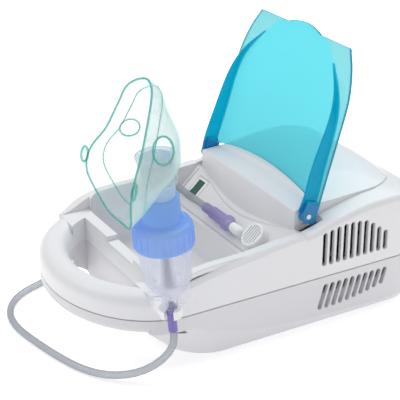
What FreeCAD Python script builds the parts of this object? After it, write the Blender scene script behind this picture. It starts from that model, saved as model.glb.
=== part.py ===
import FreeCAD, Part
import math
import os

# Tabletop piston-compressor nebulizer.  Millimetres, +Z up, -Y is the handle end, +Y the compressor end.
# The casing is drawn with the lid's ridge on y = 0 and is symmetric about x = 0.
# save() moves every piece by FOOTPRINT_SHIFT, so the origin ends on the table under the middle of the
# whole object's footprint.
FOOTPRINT_SHIFT = 42.0

V = FreeCAD.Vector
X_AXIS = V(1, 0, 0)
Y_AXIS = V(0, 1, 0)
Z_AXIS = V(0, 0, 1)
FAR = 300.0

# Casing plan
HALF_WIDTH = 86.0
FRONT_CENTRE_Y = -100.0
FRONT_REACH = 70.0
REAR_Y = 110.0
REAR_CORNER_R = 23.0
REAR_TOP_R = 5.0
WALL = 3.0
PARTING_Z = 42.0
BASE_Z = 2.5
SEAM = 0.7

# Top outline of the casing's sides, as (y, z), from the hinge end to the handle
RIM_LINE = [(0, 79.5), (-24, 78.2), (-54, 75.6), (-90, 74.0), (-104, 70.5), (-115, 65.0), (-124, 61.6)]
HANDLE_TOP_Z = 61.0
# Height of the rear shoulder at the side wall, and its rise towards the raised plateau, as (y, z)
SHOULDER_EDGE = [(0, 79.5), (14, 82), (30, 86), (50, 90), (65, 91.5), (81, 92), (95, 91), (112, 87)]
SHOULDER_RISE = [(0, 0), (25, 3), (69, 4.5), (112, 6)]
SHOULDER_RUN = 15.0
# Ledge under the tray's side rim: height of its foot, as (y, z)
LEDGE_FOOT = [(-122, 59.5), (-98, 64), (-64, 70.2), (-34, 74), (11, 79.6), (30, 84)]
LEDGE_DEPTH = 3.0

# Raised plateau over the compressor, with a straight ridge in front
RIDGE_Z = 94.0
RIDGE_HALF = 69.0
CROWN_RISE = 11.0
CROWN_RUN = 22.0
CROWN_SIDE_RISE = 3.0
PLATEAU_REAR_Y = 103.0
PLATEAU_CORNER_R = 34.0
RIDGE_BULGE = 10.8
RIDGE_FOOT_Z = 60.0
RIDGE_OVER = 14.0
RIDGE_R = 1.5

# Tray
TRAY_HALF = 76.0
TRAY_FRONT_Y = -103.0
TRAY_REAR_Y = -29.0
TRAY_FLOOR_Z = 20.0
TRAY_CORNER_R = 9.0
TRAY_WALL = 2.5
FRONT_WALL_Y = -112.5
FRONT_RIM_Z = 61.0
NOTCH_HALF = 22.0
NOTCH_Z = 57.0

# Control panel: inclined plane through (y = 0, z = PANEL_TOP_Z)
PANEL_TOP_Z = 78.0
PANEL_SLOPE = 0.916
PANEL_ANGLE = math.degrees(math.atan(PANEL_SLOPE))
PANEL_GROOVE = 0.6

# Handle ring
RING_WIDTH = 22.0
RING_BOTTOM_Z = 30.0
RING_TOP_R = 10.0
RING_FOOT_R = 6.0

# Base skirt
FOOT_HALF = 84.0
FOOT_FRONT_Y = -104.0
FOOT_REAR_Y = 106.0
FOOT_FRONT_R = 35.0
FOOT_REAR_R = 20.0
FLARE_Z = 30.0
FLARE_FRONT = 30.0

# Side vents
VENT_COUNT = 10
VENT_PITCH = 6.35
VENT_WIDTH = 4.1
VENT_FIRST_Y = 17.0
VENT_SLANT = 16.0

# Lid: plane behind the pivot line, leaning LID_LEAN behind the vertical when open
PIVOT_Y = 8.0
PIVOT_Z = 90.0
LID_LEAN = 17.0
LID_T = 2.0
LID_OFFSET = 7.2
LID_LENGTH = 127.0
LID_TAB = 4.6
LID_TAB_HALF = 22.0
LID_TIP_HALF = 61.0
LID_TIP_R = 3.0
# Side edge of the lid beyond the lugs, as (distance from the pivot, half width)
LID_EDGE = [(30, 75.4), (64, 75.2), (80, 75.0), (92, 74.0), (103, 71.2), (113, 67.4)]
# Blade inside each side of the lid: (distance from the pivot, distance from the middle, depth)
LID_BLADE = [(2, 71.2, 13.0), (34, 71.2, 12.0), (62, 70.6, 9.5), (86, 66.0, 6.0), (101, 56.5, 3.2),
        (112, 47.0, 1.0)]
LUG_X = 70.2
LUG_T = 5.6
PIN_R = 2.0
RUN_GAP = 0.05
LUG_WELL_R = 13.6

# Switch
SWITCH_X = -56.0
SWITCH_DOWN = 17.5
BEZEL_W = 15.0
BEZEL_L = 21.0
BEZEL_H = 1.4
ROCKER_W = 9.0
ROCKER_L = 15.0
ROCKER_PIVOT = -1.5
ROCKER_PIN_R = 0.8

# Filter and air outlet
FILTER_X = 45.0
FILTER_DOWN = 22.0
FILTER_BOSS_R = 9.0
FILTER_BOSS_H = 6.6
FILTER_CAP_R = 10.2
NOZZLE_Y = -24.0
NOZZLE_Z = 66.0
NOZZLE_R = 3.2
STEM_R = 3.4
NOZZLE_DEPTH = 17.0
CONNECTOR_TIP_X = -22.0
CONNECTOR_FLANGE_X = 12.0
CONNECTOR_END_X = 20.0
HOSE_R = 2.75
HOSE_FAR_X = -132.0

# Nebulizer kit: heights are measured along its own axis from KIT_BASE
KIT_BASE = V(100.0, -122.8, 60.0)
KIT_TILT = 4.9
NECK_R = 5.2
CUP_R = 19.4
CAP_R = 20.7
CUP_TOP_H = 58.0
CAP_FOOT_H = 53.0
CAP_SHOULDER_H = 70.0
CHIMNEY_TOP_H = 89.0
TUBE_R = 11.0
TUBE_TOP_H = 118.0
COLLAR_FOOT_H = 100.0
COLLAR_TOP_H = 116.0
MASK_CHIN_Y = -154.2
MASK_CHIN_Z = 137.5
MASK_LEAN = 0.2026
MASK_WALL = 1.8

# Mains inlet
INLET_X = -43.0

# Compressor: shaft along X
SHAFT_Y = 50.0
SHAFT_Z = 38.0
SHAFT_R = 3.0
ROTOR_R = 15.0
AIR_GAP = 0.5
STATOR_X0 = -6.0
STATOR_X1 = 22.0
CRANK_X = -30.0
CRANK_THROW = 2.5
CRANK_DISC_R = 8.0
ROD_W = 7.0
PISTON_R = 9.0
BORE_R = 11.7
CYLINDER_Z0 = 60.0
CYLINDER_Z1 = 78.0


def save(name, shape):
    """Write one node's solids, moved to the shared origin."""
    moved = shape.copy()
    moved.translate(V(0, FOOTPRINT_SHIFT, 0))
    solids = moved.Solids
    if not solids or not moved.isValid():
        print("CHECK", name, "solids", len(solids), "valid", moved.isValid())
    result = solids[0] if len(solids) == 1 else Part.makeCompound(solids)
    result.exportStep("parts/" + name + ".step")


def box(x0, x1, y0, y1, z0, z1):
    return Part.makeBox(x1 - x0, y1 - y0, z1 - z0, V(x0, y0, z0))


def rod(radius, start, end):
    """Cylinder between two points."""
    way = end.sub(start)
    return Part.makeCylinder(radius, way.Length, start, way)


def cone(r0, r1, start, end):
    way = end.sub(start)
    return Part.makeCone(r0, r1, way.Length, start, way)


def fuse(shapes):
    result = shapes[0]
    if len(shapes) > 1:
        result = shapes[0].multiFuse(shapes[1:])
    return result.removeSplitter()


def polygon_face(points):
    return Part.Face(Part.makePolygon(points + [points[0]]))


def lathe(profile):
    """Solid of revolution about Z from a closed (radius, height) outline."""
    face = polygon_face([V(r, 0, h) for r, h in profile])
    return face.revolve(V(0, 0, 0), Z_AXIS, 360)


def round_edges(shape, radius, wanted):
    """Fillet the edges that wanted() picks; a smaller radius is used where the full one will not fit."""
    picked = [e for e in shape.Edges if wanted(e)]
    for scale in (1.0, 0.7, 0.45):
        try:
            result = shape.makeFillet(radius * scale, picked)
            if result.isValid() and result.Volume > 0.5 * shape.Volume:
                return result
        except Exception:
            continue
    print("CHECK fillet", radius, "left out on", len(picked), "edges")
    return shape


def knots(line, at):
    """Straight-line interpolation in a list of (place, value) pairs, held at both ends."""
    pairs = sorted(line)
    if at <= pairs[0][0]:
        return pairs[0][1]
    for (a, va), (b, vb) in zip(pairs, pairs[1:]):
        if at <= b:
            return va + (vb - va) * (at - a) / (b - a)
    return pairs[-1][1]


def above(height, x_half, y0, y1, nx=13, ny=15):
    """Solid that fills everything above a height function."""
    grid = []
    for i in range(nx):
        x = -x_half + 2 * x_half * i / (nx - 1)
        row = []
        for j in range(ny):
            y = y0 + (y1 - y0) * j / (ny - 1)
            row.append(V(x, y, height(x, y)))
        grid.append(row)
    surface = Part.BSplineSurface()
    surface.interpolate(grid)
    return surface.toShape().extrude(V(0, 0, FAR))


def pipe(points, radius, spacing=7.0):
    """Round bar along a smooth path whose first and last stretch stay straight."""
    steps = (0.35, 0.7)
    lead_in = [points[0].add(points[1].sub(points[0]).multiply(t)) for t in steps]
    lead_out = [points[-2].add(points[-1].sub(points[-2]).multiply(t)) for t in steps]
    curve = Part.BSplineCurve()
    curve.interpolate([points[0]] + lead_in + points[1:-1] + lead_out + [points[-1]])
    count = max(int(curve.length() / spacing), 6)
    across = Z_AXIS
    sections = []
    for i in range(count + 1):
        at = curve.FirstParameter + (curve.LastParameter - curve.FirstParameter) * i / count
        along = curve.tangent(at)[0]
        if i == 0:
            along = points[1].sub(points[0]).normalize()
            across = along.cross(V(0.3, 0.5, 0.8)).normalize()
        if i == count:
            along = points[-1].sub(points[-2]).normalize()
        across = across.sub(V(along).multiply(across.dot(along))).normalize()
        ring_ = Part.Circle(curve.value(at), along, radius)
        ring_.XAxis = across
        sections.append(Part.Wire([ring_.toShape()]))
    return Part.makeLoft(sections, True, True)


# ---------------------------------------------------------------- casing

def plan_face(inset, z):
    """Plan outline: straight sides, rounded rear corners, half-elliptical front."""
    w = HALF_WIDTH - inset
    rear = REAR_Y - inset
    r = max(REAR_CORNER_R - inset, 1.0)
    reach = FRONT_REACH - inset
    front = Part.Ellipse(V(0, FRONT_CENTRE_Y, z), w, reach)
    arc = Part.Arc(front, math.pi, 2 * math.pi).toShape()
    c = r * (1 - math.sqrt(0.5))
    left = Part.makeLine(V(-w, FRONT_CENTRE_Y, z), V(-w, rear - r, z))
    left_arc = Part.Arc(V(-w, rear - r, z), V(-w + c, rear - c, z), V(-w + r, rear, z)).toShape()
    back = Part.makeLine(V(-w + r, rear, z), V(w - r, rear, z))
    right_arc = Part.Arc(V(w - r, rear, z), V(w - c, rear - c, z), V(w, rear - r, z)).toShape()
    right = Part.makeLine(V(w, rear - r, z), V(w, FRONT_CENTRE_Y, z))
    return Part.Face(Part.Wire([left, left_arc, back, right_arc, right, arc]))


def rounded_plate(x0, x1, y0, y1, r_front, r_rear, z, height):
    """Rectangle in plan with its own radius at the front and rear corners."""
    plate = box(x0, x1, y0, y1, z, z + height)
    plate = plate.makeFillet(r_front, [e for e in plate.Edges if upright(e) and e.CenterOfMass.y < y0 + 1])
    return plate.makeFillet(r_rear, [e for e in plate.Edges if upright(e) and e.CenterOfMass.y > y1 - 1])


def upright(edge):
    box_ = edge.BoundBox
    return box_.ZLength > 0.5 and box_.XLength < 0.01 and box_.YLength < 0.01


def shoulder(x, y):
    """Height of the lower rear surface that surrounds the plateau."""
    run = min(max((HALF_WIDTH - abs(x)) / SHOULDER_RUN, 0.0), 1.0)
    return knots(SHOULDER_EDGE, y) + knots(SHOULDER_RISE, y) * run


def crown(x, y):
    """Height of the plateau: straight at the ridge, domed behind it, falling at the very rear."""
    side = RIDGE_Z + CROWN_SIDE_RISE * min(max(y, 0.0), 70.0) / 70.0
    middle = RIDGE_Z + CROWN_RISE * (1 - math.exp(-max(y, 0.0) / CROWN_RUN))
    fall = 6.0 * (max(y - 82.0, 0.0) / 20.0) ** 2
    return side + (middle - side) * (1 - (x / RIDGE_HALF) ** 2) - fall


def front_cutter(lower):
    """Everything above the side rims and the handle, in front of the ridge."""
    line = [V(0, y, z - lower) for y, z in RIM_LINE]
    flat_z = HANDLE_TOP_Z - lower
    line.append(V(0, -130.0, flat_z))
    curve = Part.BSplineCurve()
    curve.interpolate(line)
    end_y = FRONT_CENTRE_Y - FRONT_REACH - 10
    edges = [curve.toShape()]
    edges.append(Part.makeLine(line[-1], V(0, end_y, flat_z)))
    edges.append(Part.makeLine(V(0, end_y, flat_z), V(0, end_y, FAR)))
    edges.append(Part.makeLine(V(0, end_y, FAR), V(0, 0, FAR)))
    edges.append(Part.makeLine(V(0, 0, FAR), line[0]))
    face = Part.Face(Part.Wire(edges))
    face.translate(V(-FAR, 0, 0))
    return face.extrude(V(2 * FAR, 0, 0))


def ledge_cutter(side):
    """Shallow sloping ledge along the outside of the tray's rim."""
    sections = []
    for y, z in LEDGE_FOOT:
        depth = LEDGE_DEPTH if -110 < y < 20 else 0.2
        inner = side * (HALF_WIDTH - depth)
        outer = side * (HALF_WIDTH + 6)
        edge = side * HALF_WIDTH
        points = [V(outer, y, z), V(edge, y, z), V(inner, y, z + 4), V(inner, y, FAR), V(outer, y, FAR)]
        sections.append(Part.makePolygon(points + [points[0]]))
    return Part.makeLoft(sections, True, True)


def panel_cutter(lower, half):
    """Everything above the control panel, between the rims."""
    drop = lower / math.cos(math.radians(PANEL_ANGLE))
    y0 = TRAY_REAR_Y - 0.01
    points = [V(-half, y0, PANEL_TOP_Z + PANEL_SLOPE * y0 - drop), V(-half, 0, PANEL_TOP_Z - drop)]
    points += [V(-half, 0, FAR), V(-half, y0, FAR)]
    return polygon_face(points).extrude(V(2 * half, 0, 0))


def ridge_wall(bulge, lower):
    """Leaning wall from the panel up past the straight ridge; it bows forward at its foot."""
    z0 = RIDGE_FOOT_Z - lower
    z1 = RIDGE_Z - lower
    h = RIDGE_HALF - lower
    bow = Part.Arc(V(-h, lower, z0), V(0, lower - bulge, z0), V(h, lower, z0)).toShape()
    over = RIDGE_OVER / (z1 - z0)
    ridge = Part.Arc(V(-h, lower, z1 + RIDGE_OVER), V(0, lower + bulge * over, z1 + RIDGE_OVER),
                     V(h, lower, z1 + RIDGE_OVER)).toShape()
    back_y = 40.0
    wires = []
    for front, z in ((bow, z0), (ridge, z1 + RIDGE_OVER)):
        a = V(-h, lower, z)
        b = V(-h, back_y, z)
        c = V(h, back_y, z)
        d = V(h, lower, z)
        sides = [Part.makeLine(d, c), Part.makeLine(c, b), Part.makeLine(b, a)]
        wires.append(Part.Wire([front] + sides))
    return Part.makeLoft(wires, True, True)


def plateau(lower):
    """Raised body over the compressor: leaning front wall and domed crown."""
    h = RIDGE_HALF - lower
    body = box(-h, h, 30.0, PLATEAU_REAR_Y - lower, RIDGE_FOOT_Z - lower, FAR / 2)
    corner = PLATEAU_CORNER_R - lower
    body = body.makeFillet(corner, [e for e in body.Edges if upright(e) and e.CenterOfMass.y > 50])
    body = body.common(box(-FAR, FAR, 30.0, FAR, 0,
            RIDGE_Z - lower + RIDGE_OVER)).fuse(ridge_wall(RIDGE_BULGE, lower))
    body = body.removeSplitter()
    body = body.cut(above(lambda x, y: crown(x, y) - lower, RIDGE_HALF + 3, -16.0, PLATEAU_REAR_Y + 3))
    if lower == 0:
        body = round_edges(body, RIDGE_R, ridge_edge)
    return body


def ridge_edge(edge):
    box_ = edge.BoundBox
    return box_.XLength > 60 and abs(edge.CenterOfMass.z - RIDGE_Z) < 0.6 and abs(edge.CenterOfMass.y) < 1


def casing_skin(inset):
    """Outer form of the casing above the parting plane, or the same form brought in by a wall."""
    lower = inset * 1.3
    block = plan_face(inset, PARTING_Z).extrude(V(0, 0, FAR / 2))
    body = block.common(box(-FAR, FAR, -FAR, 0, 0, FAR)).cut(front_cutter(lower))
    rear = block.common(box(-FAR, FAR, 0, FAR, 0, FAR))
    rear = rear.cut(above(lambda x, y: shoulder(x, y) - lower, HALF_WIDTH + 4, -4.0, REAR_Y + 4))
    if inset == 0:
        rear = round_edges(rear, REAR_TOP_R, rear_top_edge)
    body = body.fuse(rear).removeSplitter()
    if inset == 0:
        body = body.cut(fuse([ledge_cutter(-1), ledge_cutter(1)]))
    body = body.cut(panel_cutter(lower, TRAY_HALF + inset * 0.9))
    return body.fuse(plateau(lower)).removeSplitter()


def hole_body(grow):
    """Space inside the handle: from the front wall to the ring's inner edge."""
    w = HALF_WIDTH - RING_WIDTH - grow
    reach = FRONT_REACH - RING_WIDTH - grow
    front = Part.Ellipse(V(0, FRONT_CENTRE_Y, 0), w, reach)
    arc = Part.Arc(front, math.pi, 2 * math.pi).toShape()
    chord = Part.makeLine(V(w, FRONT_CENTRE_Y, 0), V(-w, FRONT_CENTRE_Y, 0))
    body = Part.Face(Part.Wire([arc, chord])).extrude(V(0, 0, FAR))
    return body.cut(box(-FAR, FAR, FRONT_WALL_Y + grow, FAR, -1, FAR + 1))


def ring(inset):
    """Handle: a rounded bar swept along a half ellipse."""
    a = HALF_WIDTH - RING_WIDTH / 2
    b = FRONT_REACH - RING_WIDTH / 2
    path = Part.Arc(Part.Ellipse(V(0, FRONT_CENTRE_Y, 0), a, b), math.pi, 2 * math.pi).toShape()
    half = RING_WIDTH / 2 - inset
    z0 = RING_BOTTOM_Z + inset
    z1 = HANDLE_TOP_Z - inset
    bar = box(-a - half, -a + half, FRONT_CENTRE_Y - 1, FRONT_CENTRE_Y, z0, z1)
    long_edges = [e for e in bar.Edges if e.BoundBox.YLength > 0.5]
    bar = bar.makeFillet(RING_TOP_R - inset, [e for e in long_edges if e.CenterOfMass.z > z1 - 0.1])
    long_edges = [e for e in bar.Edges if e.BoundBox.YLength > 0.5 and e.CenterOfMass.z < z0 + 0.1]
    straight = [e for e in long_edges
            if e.CenterOfMass.x < -a - half + 0.1 or e.CenterOfMass.x > -a + half - 0.1]
    bar = bar.makeFillet(RING_FOOT_R - inset, straight)
    section = [f for f in bar.Faces if abs(f.CenterOfMass.y - FRONT_CENTRE_Y) < 1e-6][0]
    return Part.Wire([path]).makePipeShell([section.OuterWire], True, False)


def tub(grow):
    """Space of the tray, or the tray with its walls."""
    half = TRAY_HALF + grow
    z0 = TRAY_FLOOR_Z - grow
    space = box(-half, half, TRAY_FRONT_Y - grow, TRAY_REAR_Y + grow, z0, FAR)
    corners = [e for e in space.Edges if upright(e) and e.CenterOfMass.y < TRAY_FRONT_Y + 1]
    space = space.makeFillet(TRAY_CORNER_R + grow, corners)
    floor = [e for e in space.Edges if e.BoundBox.ZMax < z0 + 0.01]
    return space.makeFillet(4.0 + grow, floor)


def on_panel(shape, x, down):
    """Place a shape drawn at the origin (Z out of the panel, Y up its slope) on the control panel."""
    placed = shape.copy()
    placed.rotate(V(0, 0, 0), X_AXIS, PANEL_ANGLE)
    rad = math.radians(PANEL_ANGLE)
    placed.translate(V(x, -down * math.cos(rad), PANEL_TOP_Z - down * math.sin(rad)))
    return placed


def panel_point(x, down, up=0.0):
    rad = math.radians(PANEL_ANGLE)
    y = -down * math.cos(rad) - up * math.sin(rad)
    return V(x, y, PANEL_TOP_Z - down * math.sin(rad) + up * math.cos(rad))


def vent_slot(side, y, z0, z1, slant):
    """One round-ended slot through a side wall."""
    length = z1 - z0 - VENT_WIDTH
    slot = box(-5, 5, -VENT_WIDTH / 2, VENT_WIDTH / 2, -length / 2, length / 2)
    ends = [rod(VENT_WIDTH / 2, V(-5, 0, s * length / 2), V(5, 0, s * length / 2)) for s in (-1, 1)]
    slot = fuse([slot] + ends)
    slot.rotate(V(0, 0, 0), X_AXIS, -slant)
    slot.translate(V(side * HALF_WIDTH, y, (z0 + z1) / 2))
    return slot


def vents(upper):
    slots = []
    for side in (-1, 1):
        for i in range(VENT_COUNT):
            y = VENT_FIRST_Y + i * VENT_PITCH
            t = i / (VENT_COUNT - 1)
            if upper:
                top = 78.5 + 3.2 * math.sin(math.pi * min(t / 0.8, 1.0)) - 11.0 * max(t - 0.72, 0.0) / 0.28
                slots.append(vent_slot(side, y, 51.0, top, 0.0))
            else:
                slots.append(vent_slot(side, y, 13.5 + 7.0 * t ** 2, 35.0, VENT_SLANT))
    return Part.makeCompound(slots)


def lug_well(side):
    """Trough in the shoulder in which a lid lug turns."""
    x0 = side * (RIDGE_HALF + 0.3)
    x1 = side * (LUG_X + LUG_T + 0.9)
    return rod(LUG_WELL_R, V(x0, PIVOT_Y, PIVOT_Z), V(x1, PIVOT_Y, PIVOT_Z))


def panel_groove():
    """Fine framing groove around the panel."""
    frame = box(-72, 72, -36.5, 3, -PANEL_GROOVE, 3)
    inner = box(-71.2, 71.2, -35.7, 3, -2, 4)
    groove = on_panel(frame.cut(inner), 0, 0)
    foot = ridge_wall(RIDGE_BULGE + 3.6, 0).cut(ridge_wall(RIDGE_BULGE + 2.9, 0))
    slab = on_panel(box(-71, 71, -30, 8, -PANEL_GROOVE, 3), 0, 0)
    return [groove.cut(box(-FAR, FAR, -1.5, 20, 0, FAR)), foot.common(slab)]


def case_columns():
    return [(-66.0, 88.0), (66.0, 88.0), (-60.0, -84.0), (60.0, -84.0)]


def filter_socket():
    boss = Part.makeCylinder(FILTER_BOSS_R, FILTER_BOSS_H + 3, V(0, 0, -3))
    return on_panel(boss, FILTER_X, FILTER_DOWN)


def filter_bore():
    bore = Part.makeCylinder(FILTER_BOSS_R - 2, FILTER_BOSS_H + 8, V(0, 0, -1.5))
    throat = Part.makeCylinder(3.0, 12, V(0, 0, -11))
    return on_panel(bore.fuse(throat), FILTER_X, FILTER_DOWN)


def front_shoulders():
    """Where the casing's front corners run into the handle."""
    body = plan_face(0, PARTING_Z).extrude(V(0, 0, FAR / 2)).cut(front_cutter(0))
    return body.common(box(-FAR, FAR, -128.0, FRONT_WALL_Y, 0, FAR)).cut(hole_body(0))


def upper_case():
    shell = casing_skin(0).common(box(-FAR, FAR, FRONT_WALL_Y, FAR, 0, FAR)).fuse(front_shoulders())
    upper_ring = ring(0).common(box(-FAR, FAR, -FAR, FAR, PARTING_Z, FAR))
    shell = shell.fuse(upper_ring).removeSplitter()
    hollow = casing_skin(WALL).cut(tub(TRAY_WALL)).cut(box(-FAR, FAR, -FAR, FRONT_WALL_Y + WALL, 0, FAR))
    lip = box(-TRAY_HALF - TRAY_WALL, TRAY_HALF + TRAY_WALL, -FAR, TRAY_REAR_Y + TRAY_WALL, 0, FAR)
    rear_hollow = hollow.cut(lip)
    channel = ring(WALL).common(box(-FAR, FAR, -FAR, FRONT_WALL_Y - 4, PARTING_Z, HANDLE_TOP_Z - 6))
    shell = shell.cut(rear_hollow).cut(channel)
    shell = shell.fuse(tub(TRAY_WALL).common(box(-FAR, FAR, -FAR, FAR, 0, PARTING_Z + 4)))
    posts = []
    for x, y in case_columns():
        top = TRAY_FLOOR_Z if y < 0 else 94.0
        low = 12.0 if y < 0 else 30.0
        posts.append(rod(4.0, V(x, y, low), V(x, y, top - 0.5)))
    shell = shell.fuse(posts + [filter_socket()])
    bores = [rod(1.4, V(x, y, 0), V(x, y, 17.5 if y < 0 else 45.0)) for x, y in case_columns()]
    low_rim = box(-TRAY_HALF + 0.5, TRAY_HALF - 0.5, -128.0, TRAY_FRONT_Y + 1, FRONT_RIM_Z, FAR)
    notch = box(-NOTCH_HALF, NOTCH_HALF, -116.0, TRAY_FRONT_Y + 1, NOTCH_Z, FAR)
    hose_slot = box(-HALF_WIDTH - 4, -TRAY_HALF + 4, NOZZLE_Y - 3.4, NOZZLE_Y + 3.4, NOZZLE_Z - 3.4, FAR)
    cuts = [tub(0), low_rim, notch, hose_slot, vents(True), filter_bore(), switch_opening()]
    cuts += [lug_well(-1), lug_well(1), nozzle_bore()] + bores + panel_groove() + pin_sockets()
    cuts.append(inlet_block())
    for tool in cuts:
        shell = shell.cut(tool)
    return shell


def rear_top_edge(edge):
    """Outer top edges of the rear shoulder."""
    centre = edge.CenterOfMass
    return centre.z > 70 and centre.y > 1 and not upright(edge)


def lower_skirt():
    """Flared envelope of the base: narrow at the table, wide open at the handle's underside."""
    foot = rounded_wire(FOOT_HALF, FOOT_HALF, FOOT_FRONT_Y, FOOT_REAR_Y, FOOT_FRONT_R, FOOT_REAR_R, BASE_Z)
    flare_y0 = FOOT_FRONT_Y - FLARE_FRONT
    top = rounded_wire(86.4, 99.0, flare_y0, FOOT_REAR_Y + 16, FOOT_FRONT_R + 12, FOOT_REAR_R, FLARE_Z)
    flare = Part.makeLoft([foot, top], True, True)
    return flare.fuse(box(-FAR, FAR, -FAR, FAR, FLARE_Z - 0.01, PARTING_Z))


def rounded_wire(w_front, w_rear, y0, y1, r_front, r_rear, z):
    """Rounded four-sided outline whose width may differ front and rear."""
    points = []
    kf = r_front * (1 - math.sqrt(0.5))
    kr = r_rear * (1 - math.sqrt(0.5))
    edges = []
    edges.append(Part.Arc(V(-w_front, y0 + r_front, z), V(-w_front + kf, y0 + kf, z),
            V(-w_front + r_front, y0, z)))
    edges.append(Part.Arc(V(w_front - r_front, y0, z), V(w_front - kf, y0 + kf, z),
            V(w_front, y0 + r_front, z)))
    edges.append(Part.Arc(V(w_rear, y1 - r_rear, z), V(w_rear - kr, y1 - kr, z), V(w_rear - r_rear, y1, z)))
    edges.append(Part.Arc(V(-w_rear + r_rear, y1, z), V(-w_rear + kr, y1 - kr, z),
            V(-w_rear, y1 - r_rear, z)))
    arcs = [e.toShape() for e in edges]
    loop = []
    for i, arc in enumerate(arcs):
        following = arcs[(i + 1) % 4]
        loop.append(arc)
        loop.append(Part.makeLine(arc.lastVertex().Point, following.firstVertex().Point))
    return Part.Wire(loop)


def lower_case():
    outer = plan_face(0, BASE_Z).extrude(V(0, 0, PARTING_Z - BASE_Z))
    outer = outer.common(box(-FAR, FAR, FRONT_WALL_Y, FAR, 0, FAR)).common(lower_skirt())
    shoulders = plan_face(0, BASE_Z).extrude(V(0, 0, PARTING_Z - BASE_Z)).common(lower_skirt())
    shoulders = shoulders.common(box(-FAR, FAR, -128.0, FRONT_WALL_Y + 1, 0, FAR)).cut(hole_body(0))
    lower_ring = ring(0).common(box(-FAR, FAR, -FAR, FAR, 0, PARTING_Z))
    shell = outer.fuse([shoulders, lower_ring]).removeSplitter()
    inner = plan_face(WALL + 2, BASE_Z + WALL).extrude(V(0, 0, PARTING_Z))
    inner = inner.common(box(-FAR, FAR, FRONT_WALL_Y + WALL + 4, FAR, 0, FAR))
    front_fill = rounded_plate(-FOOT_HALF + 5, FOOT_HALF - 5, FRONT_WALL_Y + WALL + 4, FAR, 30.0, 5.0, 0,
            FAR)
    inner = inner.common(front_fill)
    upper_inner = plan_face(WALL, 26.0).extrude(V(0, 0, PARTING_Z))
    upper_inner = upper_inner.common(box(-FAR, FAR, FRONT_WALL_Y + WALL, FAR, 0, FAR))
    channel = ring(WALL).common(box(-FAR, FAR, -FAR, FRONT_WALL_Y - 4, 0, PARTING_Z))
    for tool in (inner, upper_inner, channel, vents(False), inlet_block()):
        shell = shell.cut(tool)
    shell = shell.cut(tub(TRAY_WALL + 0.3))
    posts = []
    for x, y in case_columns():
        top = 11.8 if y < 0 else 29.8
        posts.append(rod(4.5, V(x, y, BASE_Z), V(x, y, top)))
    for x, y in base_points():
        posts.append(rod(4.0, V(x, y, BASE_Z + 1), V(x, y, 7.0)))
    shell = shell.fuse(posts)
    for x, y in case_columns():
        shell = shell.cut(rod(1.7, V(x, y, -1), V(x, y, 40)))
        shell = shell.cut(rod(3.4, V(x, y, -1), V(x, y, 6.0)))
    for x, y in foot_points():
        shell = shell.cut(rod(3.0, V(x, y, -1), V(x, y, BASE_Z + 1.5)))
    for x, y in base_points():
        shell = shell.cut(rod(1.3, V(x, y, BASE_Z + 1.5), V(x, y, 12)))
    seam = box(-FAR, FAR, -FAR, FAR, PARTING_Z - SEAM, PARTING_Z)
    inside = plan_face(SEAM, PARTING_Z - 1).extrude(V(0, 0, 2))
    return shell.cut(seam.cut(inside))


def foot_points():
    return [(sx * 68.0, y) for sx in (-1, 1) for y in (-66.0, 70.0)]


def base_points():
    return [(x, y) for x in (-36.0, 26.0) for y in (18.0, 82.0)]


def rubber_feet():
    feet = []
    for x, y in foot_points():
        pad = lathe([(0, 0), (6.5, 0), (7.5, 1.0), (7.5, BASE_Z), (3.0, BASE_Z), (3.0, BASE_Z + 1.5),
                (0, BASE_Z + 1.5)])
        pad.translate(V(x, y, 0))
        feet.append(pad)
    return Part.makeCompound(feet)


def screw(x, y, z_head, head_r, shank_r, length):
    """Pan-head screw driven upwards from z_head."""
    head = rod(head_r, V(x, y, z_head), V(x, y, z_head + 2.2))
    slot = box(x - head_r, x + head_r, y - 0.4, y + 0.4, z_head - 0.1, z_head + 0.9)
    cross = box(x - 0.4, x + 0.4, y - head_r, y + head_r, z_head - 0.1, z_head + 0.9)
    shank = rod(shank_r, V(x, y, z_head + 2.2), V(x, y, z_head + 2.2 + length))
    return fuse([head, shank]).cut(slot).cut(cross)


def case_screws():
    screws = []
    for x, y in case_columns():
        length = 8.8 if y < 0 else 34.0
        screws.append(screw(x, y, 3.8, 3.0, 1.4, length))
    return Part.makeCompound(screws)


# ---------------------------------------------------------------- lid

def to_lid(shape):
    """Stand up a lid shape drawn flat: Y runs from the pivot to the tip, Z points out of the back."""
    placed = shape.copy()
    placed.rotate(V(0, 0, 0), Z_AXIS, 180)
    placed.rotate(V(0, 0, 0), X_AXIS, -90.0 - LID_LEAN)
    placed.translate(V(0, PIVOT_Y, PIVOT_Z))
    return placed


def lid_outline(z):
    """Plan of the sheet, drawn flat: hinge arc, bulged sides, tip corners and a low centre tab."""
    tip = LID_LENGTH
    r = LID_TIP_R
    k = r * (1 - math.sqrt(0.5))
    hinge = Part.Arc(V(-66, 10, z), V(0, 18, z), V(66, 10, z)).toShape()
    loop = [hinge]
    for side in (-1, 1):
        points = [V(side * (LUG_X + LUG_T), 8.5, z)] + [V(side * w, along, z) for along, w in LID_EDGE]
        points.append(V(side * LID_TIP_HALF, tip - r, z))
        edge = Part.BSplineCurve()
        edge.interpolate(points)
        foot = V(side * LUG_X, 8.5, z)
        loop += [edge.toShape(), Part.makeLine(V(side * 66, 10, z), foot), Part.makeLine(foot, points[0])]
        inner = V(side * (LID_TIP_HALF - r), tip, z)
        loop.append(Part.Arc(points[-1], V(side * (LID_TIP_HALF - k), tip - k, z), inner).toShape())
        loop.append(Part.makeLine(inner, V(side * LID_TAB_HALF, tip, z)))
    tab = Part.Arc(V(-LID_TAB_HALF, tip, z), V(0, tip + LID_TAB, z), V(LID_TAB_HALF, tip, z))
    loop.append(tab.toShape())
    return Part.Face(Part.Wire(Part.__sortEdges__(loop)))


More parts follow.
